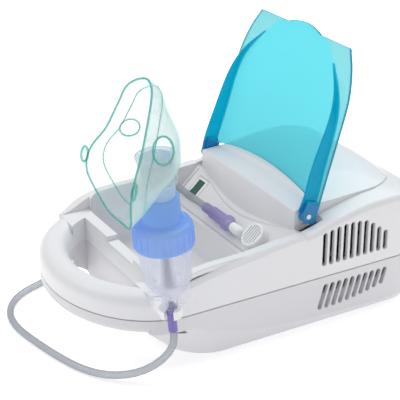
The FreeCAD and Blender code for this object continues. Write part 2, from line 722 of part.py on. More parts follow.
def lid_flange(side):
    """Inner stiffening blade: deep at the hinge, bowed outwards, tapering to nothing near the tip."""
    t = 2.0
    z1 = LID_OFFSET - LID_T + 0.5
    wires = []
    for along, x, depth in LID_BLADE:
        pts = [V(side * (x - t / 2), along, z1), V(side * (x + t / 2), along, z1)]
        pts += [V(side * (x + t / 2), along, z1 - depth), V(side * (x - t / 2), along, z1 - depth)]
        wires.append(Part.makePolygon(pts + [pts[0]]))
    return Part.makeLoft(wires, True, False)


def lid_lug(side):
    x0 = side * LUG_X
    x1 = side * (LUG_X + LUG_T)
    top = LID_OFFSET - LID_T + 0.5
    plate = box(min(x0, x1), max(x0, x1), -5.5, 12.0, -5.0, top)
    plate = plate.makeFillet(4.8, [e for e in plate.Edges
            if e.BoundBox.XLength > 4 and e.CenterOfMass.y < -5 and e.CenterOfMass.z < 0])
    strip = box(min(x0, x1), max(x0, x1), -6.5, 12.0, top - 0.6, LID_OFFSET)
    return fuse([plate, strip])


def lid():
    sheet = lid_outline(LID_OFFSET - LID_T).extrude(V(0, 0, LID_T))
    body = fuse([sheet] + [lid_flange(s) for s in (-1, 1)] + [lid_lug(s) for s in (-1, 1)])
    bore = rod(PIN_R + RUN_GAP, V(-FAR, 0, 0), V(FAR, 0, 0))
    return to_lid(body.cut(bore))


def pin_sockets():
    return [rod(PIN_R, V(s * 62.0, PIVOT_Y, PIVOT_Z), V(s * (RIDGE_HALF + 1), PIVOT_Y, PIVOT_Z))
            for s in (-1, 1)]


def lid_hinge_pins():
    pins = []
    for s in (-1, 1):
        end = LUG_X + LUG_T + 0.3
        pins.append(rod(PIN_R, V(s * 62.0, PIVOT_Y, PIVOT_Z), V(s * end, PIVOT_Y, PIVOT_Z)))
    return Part.makeCompound(pins)


# ---------------------------------------------------------------- switch

def switch_opening():
    hole = box(-BEZEL_W / 2 + 1.5, BEZEL_W / 2 - 1.5, -BEZEL_L / 2 + 1.5, BEZEL_L / 2 - 1.5, -20, 5)
    seat = box(-BEZEL_W / 2 - 0.4, BEZEL_W / 2 + 0.4, -BEZEL_L / 2 - 0.4, BEZEL_L / 2 + 0.4, -1.0, 5)
    return on_panel(hole.fuse(seat), SWITCH_X, SWITCH_DOWN)


def switch_body():
    seat_z = -1.0
    bezel = box(-BEZEL_W / 2, BEZEL_W / 2, -BEZEL_L / 2, BEZEL_L / 2, seat_z, seat_z + BEZEL_H)
    bezel = bezel.makeChamfer(0.5, [e for e in bezel.Edges if e.CenterOfMass.z > seat_z + BEZEL_H - 0.01])
    block = box(-5.9, 5.9, -8.9, 8.9, -13.0, seat_z)
    well = box(-ROCKER_W / 2 - 0.2, ROCKER_W / 2 + 0.2, -ROCKER_L / 2 - 0.7, ROCKER_L / 2 + 0.7, -8.5, 5)
    pivot = rod(ROCKER_PIN_R + RUN_GAP, V(-5.4, 0, ROCKER_PIVOT), V(5.4, 0, ROCKER_PIVOT))
    tabs = [box(-1.2, 1.2, y - 0.4, y + 0.4, -18.0, -13.0) for y in (-5.0, 0.0, 5.0)]
    return on_panel(fuse([bezel, block] + tabs).cut(well).cut(pivot), SWITCH_X, SWITCH_DOWN)


def power_rocker():
    """Rocker with its upper end pressed level and its lower end raised."""
    half = ROCKER_L / 2
    w = ROCKER_W / 2
    outline = [V(-w, -half, -2.2), V(-w, -half, 1.9), V(-w, -1.0, -0.1), V(-w, half, 0.4),
            V(-w, half, -2.2), V(-w, 0, -6.4)]
    pin = rod(ROCKER_PIN_R, V(-5.3, 0, ROCKER_PIVOT), V(5.3, 0, ROCKER_PIVOT))
    return on_panel(fuse([polygon_face(outline).extrude(V(2 * w, 0, 0)), pin]), SWITCH_X, SWITCH_DOWN)


# ---------------------------------------------------------------- filter and air path

def filter_cap():
    z0 = FILTER_BOSS_H
    disc = Part.makeCylinder(FILTER_CAP_R, 2.6, V(0, 0, z0 + 0.02))
    disc = disc.makeFillet(0.8, [e for e in disc.Edges if e.CenterOfMass.z > z0 + 2])
    spigot = Part.makeCylinder(FILTER_BOSS_R - 2.05, 3.0, V(0, 0, z0 - 3.0))
    spigot = spigot.cut(Part.makeCylinder(FILTER_BOSS_R - 3.4, 4.0, V(0, 0, z0 - 3.5)))
    cap = fuse([disc, spigot.fuse(Part.makeCylinder(FILTER_BOSS_R - 2.05, 0.2, V(0, 0, z0 - 0.1)))])
    for i in range(-2, 4):
        x = (i - 0.5) * 2.5
        half = math.sqrt(max((FILTER_CAP_R - 2.0) ** 2 - x * x, 4.0))
        cap = cap.cut(box(x - 0.55, x + 0.55, -half, half, z0 + 0.9, z0 + 4))
    return on_panel(cap, FILTER_X, FILTER_DOWN)


def filter_felt():
    felt = Part.makeCylinder(FILTER_BOSS_R - 2.6, FILTER_BOSS_H - 2.2, V(0, 0, -1.4))
    return on_panel(felt, FILTER_X, FILTER_DOWN)


def nozzle_root():
    return V(FILTER_X - 15.5, NOZZLE_Y, NOZZLE_Z)


def below_nozzle(depth):
    """Point on the nozzle stem's axis, measured back through the panel."""
    rad = math.radians(PANEL_ANGLE)
    return nozzle_root().add(V(0, depth * math.sin(rad), -depth * math.cos(rad)))


def nozzle_bore():
    return rod(STEM_R, below_nozzle(0), below_nozzle(16))


def outlet_nozzle():
    """Elbow that comes up through the panel and points across the tray."""
    root = nozzle_root()
    seat = V(CONNECTOR_END_X, NOZZLE_Y, NOZZLE_Z)
    tip = V(CONNECTOR_END_X - 8.5, NOZZLE_Y, NOZZLE_Z)
    across = [cone(4.2, 4.0, root, seat), rod(NOZZLE_R, seat, tip)]
    body = fuse(across + [Part.makeSphere(4.2, root), rod(STEM_R, root, below_nozzle(NOZZLE_DEPTH))])
    body = body.cut(rod(1.4, root, V(tip.x - 1, tip.y, tip.z)))
    return body.cut(rod(1.4, root, below_nozzle(NOZZLE_DEPTH + 1)))


def outlet_connector():
    """Hose connector pushed on the nozzle, drawn along Z and laid along -X."""
    length = CONNECTOR_END_X - CONNECTOR_TIP_X
    flange = CONNECTOR_END_X - CONNECTOR_FLANGE_X
    outline = [(NOZZLE_R, 0), (4.6, 0), (5.2, flange - 3), (6.4, flange - 1.5), (6.4, flange + 1),
            (4.3, flange + 2.5)]
    outline += [(4.0, length), (3.1, length), (3.1, length - 14), (1.8, length - 14), (1.8, 9.5),
            (NOZZLE_R, 9.0)]
    body = lathe(outline)
    ribs = []
    for i in range(4):
        rib = box(3.6, 4.9, -0.5, 0.5, flange + 4, length - 10)
        rib.rotate(V(0, 0, 0), Z_AXIS, 45 + 90 * i)
        ribs.append(rib)
    body = fuse([body] + ribs)
    body.rotate(V(0, 0, 0), Y_AXIS, -90)
    body.translate(V(CONNECTOR_END_X, NOZZLE_Y, NOZZLE_Z))
    return body


def kit(shape):
    """Place a kit piece drawn upright at the origin."""
    placed = shape.copy()
    placed.rotate(V(0, 0, 0), X_AXIS, KIT_TILT)
    placed.translate(KIT_BASE)
    return placed


def kit_point(x, h):
    rad = math.radians(KIT_TILT)
    return V(KIT_BASE.x + x, KIT_BASE.y - h * math.sin(rad), KIT_BASE.z + h * math.cos(rad))


def air_hose():
    """Clear hose: out of the tray, down the far side, round the handle and up to the cup."""
    points = [V(CONNECTOR_TIP_X + 13, NOZZLE_Y, NOZZLE_Z), V(-92, NOZZLE_Y, NOZZLE_Z)]
    points += [V(-113, -27, 61), V(-127, -36, 42), V(HOSE_FAR_X, -56, 18), V(-124, -82, 4.6),
            V(-106, -108, 3.1)]
    points += [V(-82, -139, 3.1), V(-70, -167, 3.1), V(-51, -184.5, 3.1), V(-28, -190.4, 3.1),
            V(0, -187.5, 3.1)]
    points += [V(33, -180, 3.1), V(66, -166, 3.4), V(85, -149, 7.5), V(95, -132, 16.5), kit_point(0, -25),
            kit_point(0, -8)]
    return pipe(points, HOSE_R)


# ---------------------------------------------------------------- nebulizer kit

def cup_connector():
    outline = [(0, -5.8), (2.85, -5.8), (2.85, -17), (3.3, -17), (3.3, -1), (4.2, 1), (4.2, 2.5),
            (2.4, 2.5), (2.4, 6), (0, 6)]
    body = lathe(outline)
    way = rod(0.9, V(0, 0, -7), V(0, 0, 7))
    return kit(body.cut(way))


def nebulizer_cup():
    outer = [(0, 2.6), (NECK_R, 2.6), (NECK_R, 9), (7.5, 14), (12, 19), (16.2, 25), (17.6, 36),
            (CUP_R, CUP_TOP_H)]
    inner = [(CUP_R - 1.3, CUP_TOP_H), (16.3, 36), (15, 26), (11, 20.4), (7, 15.8), (0, 12.6)]
    body = lathe(outer + inner)
    fins = []
    for i in range(4):
        pts = [V(4.5, -0.7, 6.0), V(14.5, -0.7, 7.6), V(16.2, -0.7, 9.0), V(14.6, -0.7, 22.4),
                V(8.0, -0.7, 14.6)]
        fin = polygon_face(pts).extrude(V(0, 1.4, 0))
        fin.rotate(V(0, 0, 0), Z_AXIS, 45 + 90 * i)
        fins.append(fin)
    jet = cone(3.6, 1.8, V(0, 0, 12), V(0, 0, 42))
    body = fuse([body, jet] + fins)
    socket = rod(2.4 + RUN_GAP, V(0, 0, 2), V(0, 0, 6.1))
    way = rod(0.7, V(0, 0, 6), V(0, 0, 43))
    return kit(body.cut(socket).cut(way))


def jet_baffle():
    """Cone that stands over the jet, with a cross bar above its tip."""
    skirt = lathe([(4.1, 16.6), (7.4, 17.6), (7.0, 18.8), (5.2, 19.2), (3.8, 45), (2.5, 45), (4.1, 16.9)])
    bar = box(-9, 9, -1.6, 1.6, 46.5, 49.5)
    posts = [box(s * 3.0 - 0.5, s * 3.0 + 0.5, -1.2, 1.2, 44.5, 47) for s in (-1, 1)]
    return kit(fuse([skirt, bar] + posts))


def nebulizer_cap():
    """Screw cap with grip ribs and the chimney."""
    s = CAP_SHOULDER_H
    outer = [(CAP_R - 0.1, CAP_FOOT_H), (CAP_R - 0.1, s - 3), (CAP_R - 1.4, s - 0.6), (17.4, s + 0.4)]
    outer += [(14.4, s + 0.9), (13.5, s + 2.4), (13.0, CHIMNEY_TOP_H)]
    seat = TUBE_R + RUN_GAP
    bore = CUP_R + RUN_GAP
    inner = [(seat, CHIMNEY_TOP_H), (seat, CHIMNEY_TOP_H - 5), (11.7, CHIMNEY_TOP_H - 6), (12.0, s),
            (16.4, s - 1)]
    inner += [(bore, s - 4), (bore, CAP_FOOT_H)]
    body = lathe(outer + inner)
    ribs = []
    for i in range(24):
        rib = box(CAP_R - 0.8, CAP_R + 0.3, -0.5, 0.5, CAP_FOOT_H + 0.6, s - 4.4)
        rib.rotate(V(0, 0, 0), Z_AXIS, 15 * i)
        ribs.append(rib)
    return kit(fuse([body] + ribs))


def adapter_tube():
    tube = lathe([(9.4, 74), (10.9, 74), (TUBE_R, 84), (TUBE_R, TUBE_TOP_H), (9.6, TUBE_TOP_H)])
    return kit(tube)


def cup_holder():
    """Clip on the handle's shoulder: a C-shaped collar under the cup on a short arm."""
    collar = Part.makeCylinder(8.4, 6.5, V(0, 0, -4.0)).cut(Part.makeCylinder(4.6, 12, V(0, 0, -6)))
    gap = box(0, 12, -3.2, 3.2, -8, 8)
    gap.rotate(V(0, 0, 0), Z_AXIS, -40)
    collar = kit(collar.cut(gap))
    arm = box(77.0, 93.5, KIT_BASE.y - 3.2, KIT_BASE.y + 3.2, 50.5, 61.0)
    slope = polygon_face([V(83, -FAR, 40), V(95, -FAR, 40), V(95, -FAR, 56.2)]).extrude(V(0, 2 * FAR, 0))
    arm = arm.cut(slope).cut(kit(Part.makeCylinder(8.0, 30, V(0, 0, -15))))
    return fuse([collar, arm]).cut(front_shoulders()).cut(ring(0))


def mask_section(width, chin, nose, offset):
    """Closed face-shaped loop: round chin, wide cheeks, narrow nose, in the mask's leaning plane."""
    shape = [(0.0, 0.0), (0.42, 0.03), (0.70, 0.13), (0.96, 0.29), (0.97, 0.45), (0.77, 0.61), (0.63, 0.78)]
    shape += [(0.47, 0.93)]
    right = [V(w * width, t, 0) for w, t in shape]
    left = [V(-p.x, p.y, 0) for p in reversed(right[1:])]
    points = []
    for p in right + [V(0, 1.0, 0)] + left:
        z = chin + (nose - chin) * p.y
        y = MASK_CHIN_Y + MASK_LEAN * (z - MASK_CHIN_Z) + offset
        points.append(V(KIT_BASE.x + p.x, y, z))
    curve = Part.BSplineCurve()
    curve.interpolate(points, PeriodicFlag=True)
    return Part.Wire([curve.toShape()])


def mask_form(inset):
    """Solid dome of the mask, or the same dome brought in by the wall."""
    levels = [(34.0, 137.0, 230.5, -14.0), (34.0, 137.5, 230.0, 0.0), (31.5, 151.0, 225.0, 10.0)]
    levels += [(24.5, 163.0, 211.0, 21.0), (12.0, 172.0, 195.0, 29.5)]
    wires = []
    for i, (w, chin, nose, offset) in enumerate(levels):
        back = offset - inset * (2.0 if i == 0 else 1.0)
        wires.append(mask_section(w - inset, chin + inset, nose - inset, back))
    return Part.makeLoft(wires, True, False)


def face_mask():
    """Soft mask: thin dome with a saddle-shaped rim, open towards the face, and a socket on the tube."""
    socket = kit(Part.makeCylinder(13.0, COLLAR_TOP_H - COLLAR_FOOT_H + 4, V(0, 0, COLLAR_FOOT_H)))
    shell = mask_form(0).cut(mask_form(MASK_WALL)).fuse(socket.cut(mask_form(MASK_WALL * 0.5)))
    rim = [V(-60, -40, 0), V(-34, -12.0, 0), V(-18, -4.0, 0), V(0, 0, 0), V(18, -4.0, 0), V(34, -12.0, 0)]
    curve = Part.BSplineCurve()
    curve.interpolate(rim + [V(60, -40, 0)])
    ends = [V(60, -40, 0), V(60, -90, 0), V(-60, -90, 0), V(-60, -40, 0)]
    sides = [Part.makeLine(a, b) for a, b in zip(ends, ends[1:])]
    face = Part.Face(Part.Wire([curve.toShape()] + sides))
    low = MASK_CHIN_Z - 40
    face.translate(V(KIT_BASE.x, MASK_CHIN_Y - 40 * MASK_LEAN, low))
    shell = shell.cut(face.extrude(V(0, 200 * MASK_LEAN, 200)))
    bore = kit(Part.makeCylinder(TUBE_R, TUBE_TOP_H, V(0, 0, 0)))
    vent = rod(9.0, V(KIT_BASE.x + 14, -131, 184), V(KIT_BASE.x + 60, -138, 187))
    return shell.cut(bore).cut(vent).removeSplitter()


# ---------------------------------------------------------------- electrics

def inlet_block():
    """Space of the two-pin mains inlet in the rear wall, across the parting plane."""
    return box(INLET_X - 11, INLET_X + 11, REAR_Y - 8, REAR_Y + 8, 22, 34)


def mains_inlet():
    y = REAR_Y
    x = INLET_X
    body = box(x - 10.9, x + 10.9, y - 22, y - 0.2, 22.1, 33.9)
    body = body.makeFillet(2.5, [e for e in body.Edges
            if e.BoundBox.YLength > 3.5 and e.CenterOfMass.z > 0])
    body = body.fuse(box(x - 13, x + 13, y - 7, y - 5, 19.5, 36.5))
    sides = [rod(3.6, V(x + dx, y - 12, 28), V(x + dx, y + 1, 28)) for dx in (-4, 4)]
    well = fuse(sides + [box(x - 4, x + 4, y - 12, y + 1, 24.4, 31.6)])
    pins = [rod(1.15, V(x + dx, y - 13, 28), V(x + dx, y - 3, 28)) for dx in (-4, 4)]
    tabs = [box(x + dx - 2, x + dx + 2, y - 28, y - 21, 27.6, 28.4) for dx in (-4, 4)]
    return body.cut(well).fuse(pins + tabs).removeSplitter()


def wiring():
    """Leads from the inlet to the switch and the coil, and from the switch to the coil."""
    low = panel_point(SWITCH_X, SWITCH_DOWN + 5, -18.1)
    low_lead = panel_point(SWITCH_X, SWITCH_DOWN + 5, -23)
    high = panel_point(SWITCH_X, SWITCH_DOWN - 5, -18.1)
    high_lead = panel_point(SWITCH_X, SWITCH_DOWN - 5, -23)
    start = REAR_Y - 28.1
    to_switch = [V(INLET_X - 4, start, 28), V(INLET_X - 4, start - 5, 28), V(-58, 60, 27), V(-64, 34, 27)]
    to_switch += [V(-60, 14, 34), low_lead, low]
    to_coil = [V(INLET_X + 4, start, 28), V(INLET_X + 4, start - 5, 28), V(-54, 69, 22), V(-57, 36, 17)]
    to_coil += [V(-44, 10, 19), V(-18, 0, 26), V(0, 6, 33), V(0, 13.9, 33)]
    back = [high, high_lead, V(-48, 10, 46), V(-18, 2, 45), V(8, 6, 44), V(8, 13.9, 44)]
    return Part.makeCompound([pipe(points, 1.2) for points in (to_switch, to_coil, back)])


# ---------------------------------------------------------------- motor and pump

def shaft_point(x, dy=0.0, dz=0.0):
    return V(x, SHAFT_Y + dy, SHAFT_Z + dz)


def stator_core():
    core = box(STATOR_X0, STATOR_X1, SHAFT_Y - 30, SHAFT_Y + 24, SHAFT_Z - 24, SHAFT_Z + 24)
    core = core.cut(rod(ROTOR_R + AIR_GAP, shaft_point(STATOR_X0 - 1), shaft_point(STATOR_X1 + 1)))
    core = core.cut(box(STATOR_X0 - 1, STATOR_X1 + 1, SHAFT_Y - 23, SHAFT_Y - 17, SHAFT_Z - 14,
            SHAFT_Z + 14))
    ears = [rod(2.2, V(STATOR_X0 - 1, y, z), V(STATOR_X1 + 1, y, z))
            for y in (SHAFT_Y - 26.5, SHAFT_Y + 20.5) for z in (SHAFT_Z - 20.5, SHAFT_Z + 20.5)]
    return core.cut(Part.makeCompound(ears))


def stator_coil():
    """Winding around the stator's front limb."""
    outer = box(STATOR_X0 - 6, STATOR_X1 + 6, SHAFT_Y - 36, SHAFT_Y - 17.3, SHAFT_Z - 13.6, SHAFT_Z + 13.6)
    limb = box(STATOR_X0 - 0.2, STATOR_X1 + 0.2, SHAFT_Y - 30.2, SHAFT_Y - 22.8, SHAFT_Z - 20, SHAFT_Z + 20)
    return outer.makeFillet(2.5, [e for e in outer.Edges if e.BoundBox.ZLength > 20]).cut(limb)


def rotor():
    core = rod(ROTOR_R, shaft_point(STATOR_X0), shaft_point(STATOR_X1))
    ends = [rod(ROTOR_R - 1.5, shaft_point(a), shaft_point(b))
            for a, b in ((STATOR_X0 - 2, STATOR_X0), (STATOR_X1, STATOR_X1 + 2))]
    return fuse([core] + ends).cut(rod(SHAFT_R, shaft_point(-50), shaft_point(60)))


def motor_shaft():
    return rod(SHAFT_R, shaft_point(CRANK_X - 5), shaft_point(52))


def bearing_brackets():
    """Cast bridges on both ends of the stator."""
    bridges = []
    for x0, x1 in ((STATOR_X0 - 7, STATOR_X0 - 3.5), (STATOR_X1 + 3.5, STATOR_X1 + 7)):
        bar = box(x0, x1, SHAFT_Y - 11, SHAFT_Y + 24, SHAFT_Z - 8, SHAFT_Z + 8)
        boss = rod(9.0, shaft_point(x0), shaft_point(x1))
        legs = []
        for z in (SHAFT_Z - 20.5, SHAFT_Z + 20.5):
            a = x0 if x0 < 0 else STATOR_X1
            b = STATOR_X0 if x0 < 0 else x1
            legs.append(rod(4.0, V(a, SHAFT_Y + 20.5, z), V(b, SHAFT_Y + 20.5, z)))
        web = box(x0, x1, SHAFT_Y + 16.5, SHAFT_Y + 24, SHAFT_Z - 24, SHAFT_Z + 24)
        bridge = fuse([bar, boss, web] + legs)
        bridge = bridge.cut(rod(6.0, shaft_point(x0 - 1), shaft_point(x1 + 1)))
        for z in (SHAFT_Z - 20.5, SHAFT_Z + 20.5):
            bridge = bridge.cut(rod(2.2, V(-50, SHAFT_Y + 20.5, z), V(60, SHAFT_Y + 20.5, z)))
        bridges.append(bridge)
    return Part.makeCompound(bridges)


def shaft_bushes():
    bushes = []
    for x0, x1 in ((STATOR_X0 - 7.5, STATOR_X0 - 3.0), (STATOR_X1 + 3.0, STATOR_X1 + 7.5)):
        bush = rod(6.0, shaft_point(x0), shaft_point(x1))
        bushes.append(bush.cut(rod(SHAFT_R + RUN_GAP, shaft_point(x0 - 1), shaft_point(x1 + 1))))
    return Part.makeCompound(bushes)


def stator_bolts():
    bolts = []
    for z in (SHAFT_Z - 20.5, SHAFT_Z + 20.5):
        shank = rod(2.0, V(STATOR_X0 - 7, SHAFT_Y + 20.5, z), V(STATOR_X1 + 7, SHAFT_Y + 20.5, z))
        heads = [rod(3.6, V(x, SHAFT_Y + 20.5, z), V(x + 2.4, SHAFT_Y + 20.5, z))
                for x in (STATOR_X0 - 9.4, STATOR_X1 + 7)]
        bolts.append(fuse([shank] + heads))
    return Part.makeCompound(bolts)


def cooling_fan():
    x0 = 36.0
    x1 = 48.0
    parts_ = [rod(8.0, shaft_point(x0), shaft_point(x1))]
    for i in range(7):
        blade = box(x0 + 1, x1 - 1, SHAFT_Y - 0.9, SHAFT_Y + 0.9, SHAFT_Z + 6, SHAFT_Z + 27)
        blade.rotate(V(x0 + 6, SHAFT_Y, SHAFT_Z + 16), Z_AXIS, 32)
        blade.rotate(shaft_point(x0), X_AXIS, 360.0 * i / 7)
        parts_.append(blade)
    return fuse(parts_).cut(rod(SHAFT_R, shaft_point(-50), shaft_point(60)))


def eccentric():
    """Crank disc with a counterweight; the disc's centre is CRANK_THROW above the shaft."""
    disc = rod(CRANK_DISC_R, shaft_point(CRANK_X - ROD_W / 2, 0, CRANK_THROW),
            shaft_point(CRANK_X + ROD_W / 2, 0, CRANK_THROW))
    hub = rod(7.0, shaft_point(CRANK_X + ROD_W / 2), shaft_point(CRANK_X + ROD_W / 2 + 6))
    weight = rod(15.0, shaft_point(CRANK_X + ROD_W / 2 + 1), shaft_point(CRANK_X + ROD_W / 2 + 6))
    weight = weight.common(box(-60, 60, 0, 100, 0, SHAFT_Z - 2))
    return fuse([disc, hub, weight]).cut(rod(SHAFT_R, shaft_point(-50), shaft_point(60)))


def connecting_rod():
    """One-piece rod and piston head."""
    x0 = CRANK_X - ROD_W / 2 + 0.3
    x1 = CRANK_X + ROD_W / 2 - 0.3
    ring_ = rod(CRANK_DISC_R + 3.5, shaft_point(x0, 0, CRANK_THROW), shaft_point(x1, 0, CRANK_THROW))
    top = CYLINDER_Z1 - 8.0
    arm = box(x0 + 1, x1 - 1, SHAFT_Y - 3.2, SHAFT_Y + 3.2, SHAFT_Z + CRANK_THROW + 9, top - 3)
    head = Part.makeCylinder(PISTON_R, 2.6, V(CRANK_X, SHAFT_Y, top - 3.6))
    body = fuse([ring_, arm, head])
    return body.cut(rod(CRANK_DISC_R + RUN_GAP, shaft_point(x0 - 1, 0, CRANK_THROW),
            shaft_point(x1 + 1, 0, CRANK_THROW)))


def piston_seal():
    top = CYLINDER_Z1 - 8.0
    seal = lathe([(0, top - 1.0), (PISTON_R, top - 1.0), (PISTON_R, top + 0.6),
            (PISTON_R - 0.8, top + 0.6), (PISTON_R - 1.6, top - 0.2), (0, top - 0.2)])
    seal.translate(V(CRANK_X, SHAFT_Y, 0))
    return seal


def cylinder():
    sleeve = lathe([(BORE_R, CYLINDER_Z0), (BORE_R + 1.5, CYLINDER_Z0), (BORE_R + 1.5, CYLINDER_Z1),
            (BORE_R, CYLINDER_Z1)])
    sleeve.translate(V(CRANK_X, SHAFT_Y, 0))
    return sleeve


def pump_bracket():
    """Frame that carries the cylinder beside the motor and stands on the base plate."""
    h = BORE_R + 5.0
    deck = box(CRANK_X - h, CRANK_X + h, SHAFT_Y - h, SHAFT_Y + h, CYLINDER_Z0 + 3, CYLINDER_Z1 - 2)
    deck = deck.cut(rod(BORE_R + 1.5, V(CRANK_X, SHAFT_Y, 0), V(CRANK_X, SHAFT_Y, 100)))
    x0 = CRANK_X - h
    plate = box(x0, x0 + 3.4, SHAFT_Y - h, SHAFT_Y + h, 11.0, CYLINDER_Z0 + 3)
    return fuse([deck, plate])


def valve_plate():
    h = BORE_R + 4.5
    plate = box(CRANK_X - h, CRANK_X + h, SHAFT_Y - h, SHAFT_Y + h, CYLINDER_Z1, CYLINDER_Z1 + 2)
    for dx in (-5, 5):
        plate = plate.cut(rod(1.2, V(CRANK_X + dx, SHAFT_Y, 0), V(CRANK_X + dx, SHAFT_Y, 100)))
    return drill_head(plate)


def reed_valves():
    z = CYLINDER_Z1 + 2
    leaf = box(CRANK_X + 2, CRANK_X + 8, SHAFT_Y - 6, SHAFT_Y + 3, z, z + 0.2)
    low = box(CRANK_X - 8, CRANK_X - 2, SHAFT_Y - 3, SHAFT_Y + 6, CYLINDER_Z1 - 0.2, CYLINDER_Z1)
    return Part.makeCompound([leaf, low])


def head_points():
    d = BORE_R + 1.6
    return [(CRANK_X + sx * d, SHAFT_Y + sy * d) for sx in (-1, 1) for sy in (-1, 1)]


def drill_head(shape):
    for x, y in head_points():
        shape = shape.cut(rod(1.5, V(x, y, 0), V(x, y, 120)))
    return shape


def cylinder_head():
    h = BORE_R + 4.5
    z0 = CYLINDER_Z1 + 2
    body = box(CRANK_X - h, CRANK_X + h, SHAFT_Y - h, SHAFT_Y + h, z0, z0 + 7)
    body = round_edges(body, 2.0, upright)
    for s in (-1, 1):
        chamber = box(CRANK_X + s * 5.5 - 4.6, CRANK_X + s * 5.5 + 4.6, SHAFT_Y - 8, SHAFT_Y + 8, z0 - 1,
                z0 + 5)
        body = body.cut(chamber)
    ports = []
    for s, y in ((-1, SHAFT_Y - 5), (1, SHAFT_Y - 5)):
        x = CRANK_X + s * 5.5
        ports.append(rod(2.4, V(x, SHAFT_Y - h + 1, z0 + 3.2), V(x, SHAFT_Y - h - 8, z0 + 3.2)))
    body = fuse([body] + ports)
    for s in (-1, 1):
        x = CRANK_X + s * 5.5
        body = body.cut(rod(1.2, V(x, SHAFT_Y - 8, z0 + 3.2), V(x, SHAFT_Y - h - 9, z0 + 3.2)))
    return drill_head(body)


def head_screws():
    screws = []
    z = CYLINDER_Z1 + 9
    for x, y in head_points():
        head = rod(2.4, V(x, y, z), V(x, y, z + 1.8)).cut(box(x - 3, x + 3, y - 0.35, y + 0.35, z + 1.0,
                z + 3))
        screws.append(fuse([head, rod(1.5, V(x, y, CYLINDER_Z1), V(x, y, z))]))
    return Part.makeCompound(screws)


def motor_base():
    """Steel plate on rubber mounts that carries the stator and the pump."""
    plate = box(-52, 34, SHAFT_Y - 38, SHAFT_Y + 38, 9.0, 11.0)
    saddle = box(STATOR_X0 + 2, STATOR_X1 - 2, SHAFT_Y - 30, SHAFT_Y + 24, 11.0, SHAFT_Z - 24)
    body = fuse([plate, saddle])
    for x, y in base_points():
        body = body.cut(rod(2.6, V(x, y, 0), V(x, y, 20)))
    return body


def rubber_mounts():
    mounts = []
    for x, y in base_points():
        grommet = lathe([(1.6, 7.0), (4.6, 7.0), (4.6, 9.0), (2.6, 9.0), (2.6, 11.0), (4.6, 11.0),
                (4.6, 12.6), (1.6, 12.6)])
        grommet.translate(V(x, y, 0))
        mounts.append(grommet)
    return Part.makeCompound(mounts)


def base_screws():
    screws = []
    for x, y in base_points():
        head = rod(3.2, V(x, y, 12.6), V(x, y, 14.6)).cut(box(x - 4, x + 4, y - 0.4, y + 0.4, 13.8, 16))
        screws.append(fuse([head, rod(1.3, V(x, y, BASE_Z + 2), V(x, y, 12.6))]))
    return Part.makeCompound(screws)


def port_points(side):
    """End of a cylinder-head port and a point straight out in front of it."""
    x = CRANK_X + side * 5.5
    y = SHAFT_Y - BORE_R - 12.5
    z = CYLINDER_Z1 + 5.2
    return V(x, y, z), V(x, y - 5, z)


def intake_tube():
    """From the filter's throat to the pump's intake."""
    port, lead = port_points(1)
    start = panel_point(FILTER_X, FILTER_DOWN, -11.1)
    points = [start, panel_point(FILTER_X, FILTER_DOWN, -15), V(38, 6, 54), V(14, 8, 70), V(-12, 12, 82),
            lead, port]
    return pipe(points, 2.2)


def outlet_tube():
    """From the pump's outlet to the nozzle's stem."""
    port, lead = port_points(-1)
    points = [port, lead, V(-34, 8, 76), V(-22, 2, 62), V(2, 2, 52), V(24, 6, 44)]
    points += [below_nozzle(NOZZLE_DEPTH + 5), below_nozzle(NOZZLE_DEPTH + 0.1)]
    return pipe(points, 2.2)


BUILDERS = [
    upper_case, lower_case, rubber_feet, case_screws, lid, lid_hinge_pins, switch_body, power_rocker,
    filter_cap, filter_felt, outlet_nozzle, outlet_connector, air_hose, cup_connector, nebulizer_cup,
    jet_baffle, nebulizer_cap, adapter_tube, cup_holder, face_mask, mains_inlet, wiring, stator_core,
    stator_coil, rotor, motor_shaft, bearing_brackets, shaft_bushes, stator_bolts, cooling_fan, eccentric,
    connecting_rod, piston_seal, cylinder, pump_bracket, valve_plate, reed_valves, cylinder_head,
    head_screws, motor_base, rubber_mounts, base_screws, intake_tube, outlet_tube,
]

os.makedirs("parts", exist_ok=True)
for builder in BUILDERS:
    save(builder.__name__, builder())
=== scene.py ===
import math

import bpy
from mathutils import Matrix, Vector


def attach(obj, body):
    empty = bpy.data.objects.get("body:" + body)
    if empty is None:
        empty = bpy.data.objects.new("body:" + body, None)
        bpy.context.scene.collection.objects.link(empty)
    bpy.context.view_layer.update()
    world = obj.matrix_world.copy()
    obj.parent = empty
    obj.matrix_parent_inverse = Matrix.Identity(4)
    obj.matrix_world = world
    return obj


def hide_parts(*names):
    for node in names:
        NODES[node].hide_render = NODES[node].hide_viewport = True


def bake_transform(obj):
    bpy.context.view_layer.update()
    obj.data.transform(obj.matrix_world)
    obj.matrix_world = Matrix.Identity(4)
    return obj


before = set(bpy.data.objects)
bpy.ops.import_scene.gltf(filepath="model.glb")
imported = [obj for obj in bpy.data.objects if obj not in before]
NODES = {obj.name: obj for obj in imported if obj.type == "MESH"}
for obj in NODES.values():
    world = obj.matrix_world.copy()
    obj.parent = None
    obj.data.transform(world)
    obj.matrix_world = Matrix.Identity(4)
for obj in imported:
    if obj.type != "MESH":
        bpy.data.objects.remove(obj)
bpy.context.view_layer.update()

# Sizes are millimetres in the casing's own frame: its ridge lies on y = 0 and the table on z = 0.
# The row frame is the same frame moved along y by the shift, in metres.
MM = 0.001
FOOTPRINT_SHIFT = 42.0

# Cup, cap and tube stand on one axis, which leans from its foot point towards the handle
KIT_BASE = Vector((100.0, -122.8, 60.0))
KIT_TILT = math.radians(4.9)
TUBE_R = 11.0
CHIMNEY_FOOT_H = 71.0

